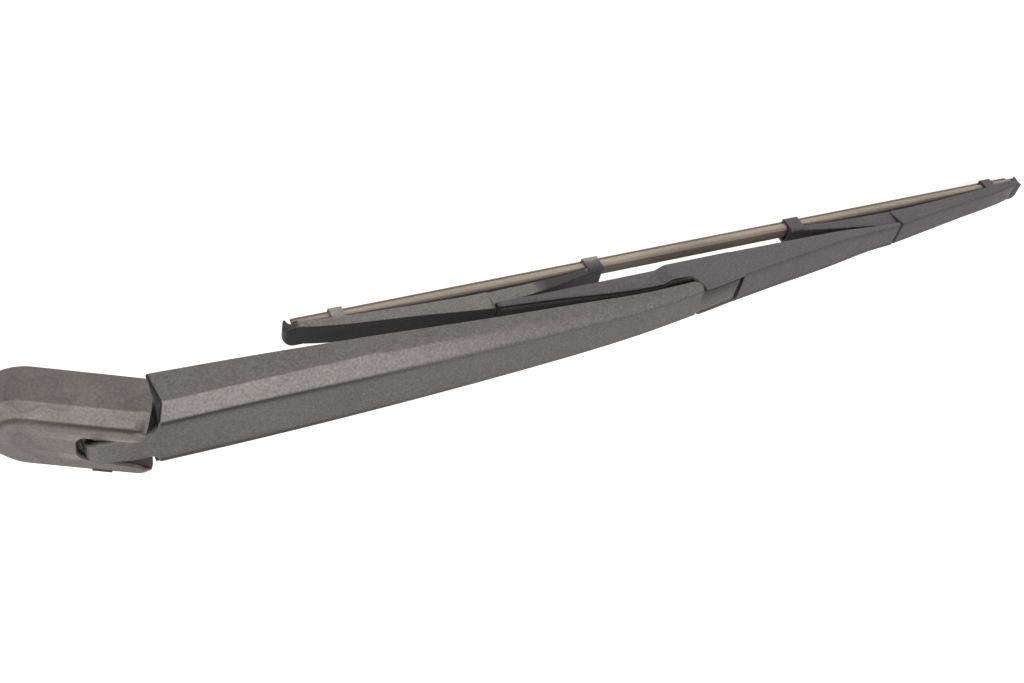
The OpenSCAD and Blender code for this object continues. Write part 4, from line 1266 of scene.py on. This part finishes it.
@dataclass
class Yoke:
    """One yoke: slim inside the bridge, full outside it, with claws and a hooked end."""

    paint: Paint
    side: int
    wall: float = 1.2
    inner: float = 4.1
    edge: float = 4.6
    claw_places: tuple[float, float] = (45.5, 145.9)
    claw_lengths: tuple[float, float] = (6.2, 4.8)
    ends: tuple[float, float] = (165.7, 164.1)
    joint: float = 90.6

    def foot(self, x: np.ndarray) -> np.ndarray:
        """Height of the open edge, which bows up between the claws."""
        return spline([(40, -14.8), (50, -14), (62, -13), (76, -12.4), (96, -11.9), (106, -12.2),
                       (126, -13.1), (146, -14.5), (161, -15.8)], x)

    def slim_top(self, x: np.ndarray) -> np.ndarray:
        """Height of the inner half's back."""
        return spline([(40, -12.9), (50, -11.2), (62, -9), (74, -7.3), (83, -5.7), (89, -5.6)], x)

    def full_half(self, x: np.ndarray) -> np.ndarray:
        """Half-width of the outer half's back."""
        return spline([(90, 5.8), (114, 5.5), (130, 5.1), (144, 4.8), (161, 4.7)], x)

    def channel(self, x: np.ndarray, half: np.ndarray, rim: np.ndarray, top: np.ndarray,
                shrink: np.ndarray) -> np.ndarray:
        """Closed outlines of the yoke's wall.

        Args:
            x: places along the yoke.
            half: half-width under the back's rounding.
            rim: half-width at the open edge.
            top: height of the back.
            shrink: how far the outside is drawn in, which rounds an end.

        Returns:
            Outlines shaped (places, points, 2).
        """
        f, s, w = self.foot(x), shrink, self.wall
        outer = [(rim - s, f), (half - s, top - s), (half - 2.4 - s, top - s)]
        inner = [(half - w, top - 1.2), (rim - w, f)]
        outline = outer + [(-a, b) for a, b in outer[::-1]] + [(-a, b) for a, b in inner[::-1]] + inner
        radii = [0.25, 0.65, 0.05, 0.05, 0.65, 0.25, 0.2, 0.4, 0.4, 0.2]
        return rounded(gathered(outline), np.array(radii), 4)

    def slim_part(self, skin: Skin) -> None:
        """Adds the inner half, open over the pin.

        Args:
            skin: the piece to add to.
        """
        start = self.claw_places[0] - self.claw_lengths[0] / 2
        x = np.concatenate([start + np.array([0, 0.15, 0.4]), np.linspace(start + 1.3, 81.6, 36)])
        half = np.full(len(x), self.inner)
        shrink = np.interp(x, start + np.array([0, 0.15, 0.4]), [0.3, 0.1, 0])
        skin.loft(along_x(x, self.channel(x, half, half, self.slim_top(x), shrink)))
        xs = np.linspace(80.2, 91.2, 12)
        walls = np.concatenate([np.stack([xs, self.foot(xs)], axis=1),
                                np.stack([xs, self.slim_top(xs)], axis=1)[::-1]])
        skin.plates(walls, self.inner - self.wall, self.inner - 0.01, 0.02)

    def full_part(self, skin: Skin) -> None:
        """Adds the outer half as far as the hook.

        Args:
            skin: the piece to add to.
        """
        start = self.joint + np.array([0, 0.12, 0.4])
        x = np.concatenate([start, np.linspace(92, 160.6, 64)])
        top = spline([(90, -2.8), (99, -4), (114, -6.2), (129, -8.2), (144, -10.1), (154, -11.7),
                      (160, -13.1)], x)
        shrink = np.interp(x, start, [0.35, 0.12, 0])
        skin.loft(along_x(x, self.channel(x, self.full_half(x), np.full(len(x), self.edge), top, shrink)))

    def hook(self, skin: Skin) -> None:
        """Adds the end that curls down past the rubber.

        Args:
            skin: the piece to add to.
        """
        e = self.ends[self.side > 0]
        outline = [e, 0.0] + np.array([
            [-7.6, -14.6], [-3.6, -14.8], [-2.4, -15.6], [-1.8, -17.1], [-1.6, -18.4], [-1.1, -18.4],
            [-0.7, -17.2], [-0.25, -15.8], [0.0, -14.7], [-0.3, -13.7], [-1.5, -13.0], [-3.4, -12.85],
            [-5.2, -12.9], [-7.6, -12.75]])
        curve = rounded(outline[None], np.full(len(outline), 0.9), 3)[0]
        reach = np.clip((curve[:, 0] - (e - 4.6)) / 4.6, 0, 1)
        half = self.edge * np.sqrt(1 - 0.8 * reach**2)
        middle = np.array([e - 3.5, -14.2])
        levels = [(1.0, 0.72), (0.97, 0.85), (0.91, 0.95), (0.82, 1.0)]
        rings = []
        for share, size in [(-share, size) for share, size in levels] + levels[::-1]:
            spine = 0.3 * (curve - middle) + middle
            p = curve * (0.7 + 0.3 * size) + spine * (0.3 - 0.3 * size)
            rings.append(np.stack([p[:, 0], share * half, p[:, 1]], axis=1))
        skin.loft(np.array(rings))

    def weather_and_painted_light(self, p: np.ndarray, n: np.ndarray) -> np.ndarray:
        """Painted shade on the rear yoke's back and hook under the arm, on the slim half inside the bridge,
        on the step where the full half starts and along the front yoke's ridge; painted light on the rear
        yoke's sides; darker inside, for unfaded plastic and painted shade; lightest at the rear yoke's
        claws.

        Args:
            p: points in mm, shaped (n, 3).
            n: their normals.

        Returns:
            The weathering and painted light and shade at each point.
        """
        x, y = np.abs(p[:, 0]), np.abs(p[:, 1])
        slope = lean(n)
        # Darker inside: unfaded plastic and painted shade.
        inner = (n[:, 1] * p[:, 1] < -0.5) | (n[:, 2] < -0.6) | (y < self.inner - self.wall)
        rear = self.side < 0
        half = np.where(x < self.joint - 0.1, self.inner, self.full_half(x))
        back = eased((slope - 42) / 34)
        # Painted shade on the step where the full half starts.
        seam = (np.abs(x - self.joint - 0.2) < 0.45) & (p[:, 2] > -4.0)
        # Painted shade along the front yoke's ridge.
        ridge = np.interp(half - y, [0.0, 0.6, 1.4, 3.0], [0.5, 1.0, 0.8, 0.2]) * eased((slope - 20) / 30)
        # Rear yoke: painted light on its sides, which face the lamps, and painted shade on its back under
        # the arm.
        out = 0.46 * (1 - back) - 0.74 * back if rear else -0.55 * ridge
        # Painted shade on the slim half inside the bridge.
        slim = eased((73 - x) / 7) if rear else eased((84 - x) / 10)
        out = out * (1 - slim) + slim * (-0.75 if rear else -0.1 - 0.6 * back)
        reach = np.min([np.abs(x - place) for place in self.claw_places], axis=0)
        claw = (reach < self.claw_lengths[0] / 2 + 0.1) & (p[:, 2] < -14.9)
        claw = (claw | ((reach < 4) & (x < 60))) & (p[:, 2] < self.foot(x) + 0.5)
        out = np.where(claw, 1.0 if rear else 0.0, out)
        # Painted shade on the rear yoke's hook, under the arm.
        hook = 1.1 * eased((x - self.ends[0] + 5.5) / 1.5) * rear
        roof = (n[:, 2] > 0.5) & (x > 91)
        return np.where((inner & ~roof) | seam, -0.9, np.maximum(-1, out - hook * (1 - back)))

    def claws(self, skin: Skin) -> None:
        """Adds the two pairs of claws that reach under the rubber's head.

        Args:
            skin: the piece to add to.
        """
        claw = np.array([[[3.5, -12.0], [3.5, -18.0], [1.5, -18.2], [1.5, -19.0], [4.1, -19.1],
                          [4.75, -18.4], [4.75, -12.6], [4.0, -11.7]]])
        for place, length in zip(self.claw_places, self.claw_lengths):
            x = place + length / 2 * np.array([-1, -0.96, 0.96, 1])
            for side in (-1, 1):
                section = rounded(claw, np.full(8, 0.35), 3) * [side, 1]
                skin.loft(along_x(x, np.repeat(section, 4, axis=0)))

    def build(self) -> bpy.types.Object:
        """Builds the yoke and lets it stand for its solid.

        Returns:
            The finished yoke.
        """
        name = "front_yoke" if self.side > 0 else "rear_yoke"
        skin = Skin()
        self.slim_part(skin)
        self.full_part(skin)
        self.hook(skin)
        self.claws(skin)
        skin.points = [p * [self.side, 1, 1] for p in skin.points]
        yoke = crisp(skin.mesh(name + "_body", Place.BLADE))
        store_weather_and_painted_light(yoke, Place.BLADE, self.weather_and_painted_light)
        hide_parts(name)
        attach(yoke, name)
        self.paint.dress(yoke, "yoke_plastic")
        log.info("%s: %d faces", name, len(yoke.data.polygons))
        return yoke


@dataclass
class Strip:
    """The rubber and its two steel rails, as two halves."""

    paint: Paint
    half_length: float = 161.0
    back: float = -15.65
    height: float = 5.35
    width: float = 6.4
    rail: float = 0.8
    rail_depth: float = 0.65
    rail_inner: float = 1.3
    bend: tuple[float, float] = (43.0, 2.0)
    bend_z: float = -18.0

    def profile(self) -> np.ndarray:
        """The rubber's section: head with a groove on each side, neck, wedge and lip.

        Returns:
            Points shaped (n, 2), closed.
        """
        h, web, back = self.width / 2, self.rail_inner, self.back
        lip, rail = back - self.height, back - self.rail_depth
        low = rail - self.rail
        half = np.array([[0.35, lip], [0.4, lip + 0.5], [1.3, low - 1.4], [0.8, low - 1.2],
                         [0.8, low - 0.75], [h, low - 0.6], [h, low], [web, low], [web, rail], [h, rail],
                         [h, back - 0.3], [h - 0.3, back], [1.6, back], [0.9, back]])
        return np.concatenate([half, half[::-1] * [-1, 1]])

    def stations(self, side: int) -> np.ndarray:
        """Places along one half, from the middle to its end."""
        return side * np.linspace(0, self.half_length, 110)

    def weather_and_painted_light(self, p: np.ndarray, n: np.ndarray) -> np.ndarray:
        """Dusty on the sides, lighter along the back's edges for dust and painted light where the yokes
        shade the back, brown on the back, and a paler grey at the lip, painted light where it faces away
        from the lamps.

        Args:
            p: points in mm, shaped (n, 3).
            n: their normals.

        Returns:
            The weathering and painted light and shade at each point.
        """
        above = p[:, 2] - self.back + self.height
        side = eased((np.abs(n[:, 1]) - 0.45) / 0.3) * eased((above - 1.2) / 0.8)
        # Lighter along the back's edges: dust, and painted light where the yokes shade the back.
        rim = (p[:, 2] > self.back - 0.2) * np.interp(p[:, 1], [0.9, 1.6], [0.0, 0.85])
        side = np.maximum(side, rim)
        # The lip takes the paler grey, painted light where it faces away from the lamps.
        return side - eased((0.9 - above) / 0.5)

    def half(self, side: int) -> None:
        """Builds one half of the strip.

        Args:
            side: -1 for the half under the arm, 1 for the outer half.
        """
        x = self.stations(side)
        body = Skin()
        outline = self.profile()
        section = rounded(outline[None], np.full(len(outline), 0.12), 2)
        body.loft(along_x(x, np.repeat(section, len(x), axis=0)))
        rails = Skin()
        top = self.back - self.rail_depth
        low = top - self.rail
        for s in (-1, 1):
            y0, y1 = sorted((s * self.rail_inner, s * (self.width / 2 + 0.05)))
            bar = rounded(np.array([[[y0, low], [y1, low], [y1, top], [y0, top]]]), np.full(4, 0.12), 2)
            rails.loft(along_x(x[:-1], np.repeat(bar, len(x) - 1, axis=0)))
        label = "front" if side > 0 else "rear"
        for skin, name, slot, nodes in ((body, "rubber", "rubber", ("wiper_rubber",)),
                                        (rails, "rails", "rail_steel", ("left_rail", "right_rail"))):
            piece = crisp(skin.mesh(f"{label}_{name}", Place.BLADE))
            store_weather_and_painted_light(piece, Place.BLADE, self.weather_and_painted_light)
            self.paint.dress(piece, slot)
            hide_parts(*nodes)
            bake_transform(piece)
            log.info("%s %s: %d faces", label, name, len(piece.data.polygons))

    def build(self) -> None:
        """Builds both halves."""
        for side in (-1, 1):
            self.half(side)


@dataclass
class Studio:
    """Camera, lamps, world and floor."""

    eye: tuple[float, float, float] = (85.0, 370.1, 286.6)
    right: tuple[float, float, float] = (0.98452, 0.17518, 0.00587)
    up: tuple[float, float, float] = (-0.11188, 0.65389, -0.74827)
    towards: tuple[float, float, float] = (-0.13492, 0.73603, 0.66337)
    lens: float = 50.0
    sky: float = 0.24

    def camera(self) -> None:
        """Stands the camera where the photograph was taken from."""
        data = bpy.data.cameras.new("camera")
        data.lens = self.lens
        data.sensor_width = 36.0
        data.clip_start = 0.01
        eye = bpy.data.objects.new("camera", data)
        axes = Matrix((self.right, self.up, self.towards)).transposed()
        eye.matrix_world = Matrix.Translation(Vector(self.eye) * MM) @ axes.to_4x4()
        bpy.context.scene.collection.objects.link(eye)
        bpy.context.scene.camera = eye

    def lamp(self, name: str, place: Point, aim: Point, size: float, power: float) -> None:
        """Adds a soft square lamp.

        Args:
            name: its name.
            place: where it hangs, in metres.
            aim: what it points at.
            size: its side, in metres.
            power: its power in watts.
        """
        data = bpy.data.lights.new(name, "AREA")
        data.size = size
        data.energy = power
        lamp = bpy.data.objects.new(name, data)
        lamp.location = place
        lamp.rotation_euler = (Vector(aim) - Vector(place)).to_track_quat("-Z", "Y").to_euler()
        bpy.context.scene.collection.objects.link(lamp)

    def lights(self) -> None:
        """Hangs the lamps and sets an even world."""
        middle = (0.17, 0.0, -0.05)
        self.lamp("key", (0.27, 0.98, 1.06), middle, 0.6, 15.0)
        self.lamp("right", (1.15, 0.45, 0.85), middle, 0.5, 4.0)
        self.lamp("far", (-0.4, -1.0, 0.7), middle, 0.9, 4.0)
        world = bpy.data.worlds.new("studio")
        world.use_nodes = True
        tree = world.node_tree
        tree.nodes.clear()
        light = add_node(tree, "MapRange", {"Value": self.seen(tree), "To Min": self.sky, "To Max": 0.9})
        air = add_node(tree, "Background", {"Color": (1.0, 1.0, 1.0, 1.0),
                                            "Strength": light.outputs["Result"]})
        add_node(tree, "OutputWorld", {"Surface": air.outputs[0]})
        bpy.context.scene.world = world

    def seen(self, tree: bpy.types.NodeTree) -> bpy.types.NodeSocket:
        """Tells the rays that see the background white.

        Args:
            tree: the node tree to add to.

        Returns:
            One for rays from the camera, off gloss or through glass, and zero for others.
        """
        rays = add_node(tree, "LightPath").outputs
        share = rays["Is Camera Ray"]
        for ray in ("Is Glossy Ray", "Is Transmission Ray"):
            share = add_node(tree, "Math", {0: share, 1: rays[ray]}, operation="MAXIMUM").outputs[0]
        return share

    def floor(self) -> None:
        """Lays the pale floor under the lowest point, white to the eye but still taking the shadow."""
        low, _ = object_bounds()
        size, z = 4.0, low[2] - 0.002
        data = bpy.data.meshes.new("floor")
        corners = [(x * size, y * size, z) for x, y in ((-1, -1), (1, -1), (1, 1), (-1, 1))]
        data.from_pydata(corners, [], [(0, 1, 2, 3)])
        floor = bpy.data.objects.new("floor", data)
        bpy.context.scene.collection.objects.link(floor)
        material = bpy.data.materials.new("floor")
        material.use_nodes = True
        tree = material.node_tree
        tree.nodes.clear()
        matt = add_node(tree, "BsdfDiffuse", {"Color": (0.9, 0.9, 0.9, 1.0)})
        glow = add_node(tree, "Emission", {"Color": (1.0, 1.0, 1.0, 1.0), "Strength": 0.6})
        both = add_node(tree, "AddShader", {0: matt.outputs[0], 1: glow.outputs[0]})
        pick = add_node(tree, "MixShader", {0: self.seen(tree), 1: matt.outputs[0], 2: both.outputs[0]})
        add_node(tree, "OutputMaterial", {"Surface": pick.outputs[0]})
        data.materials.append(material)
        floor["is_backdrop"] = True


def dress_solids(paint: Paint, frame: dict) -> None:
    """Gives every solid of the frame the finish that its record names.

    Args:
        paint: the finishes.
    """
    for part in frame["record"]["subparts"]:
        node = frame["nodes"][part["node"]]
        paint.dress(node, part["material_slot"])
        log.info("%s dressed as %s", part["node"], part["material_slot"])


def main() -> None:
    """Builds the scene: camera, finishes, pieces in order, then lamps and floor."""
    logging.basicConfig(level=logging.INFO, format="%(message)s")
    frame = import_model()
    bpy.context.scene.view_settings.view_transform = "Standard"
    studio = Studio()
    studio.camera()
    paint = Paint()
    paint.build()
    dress_solids(paint, frame)
    HeadCap(paint).build()
    arm = Arm(paint)
    arm.build()
    Bridge(paint, arm).build()
    for side in (-1, 1):
        Yoke(paint, side).build()
    Strip(paint).build()
    studio.lights()
    studio.floor()


if __name__ == "__main__":
    main()
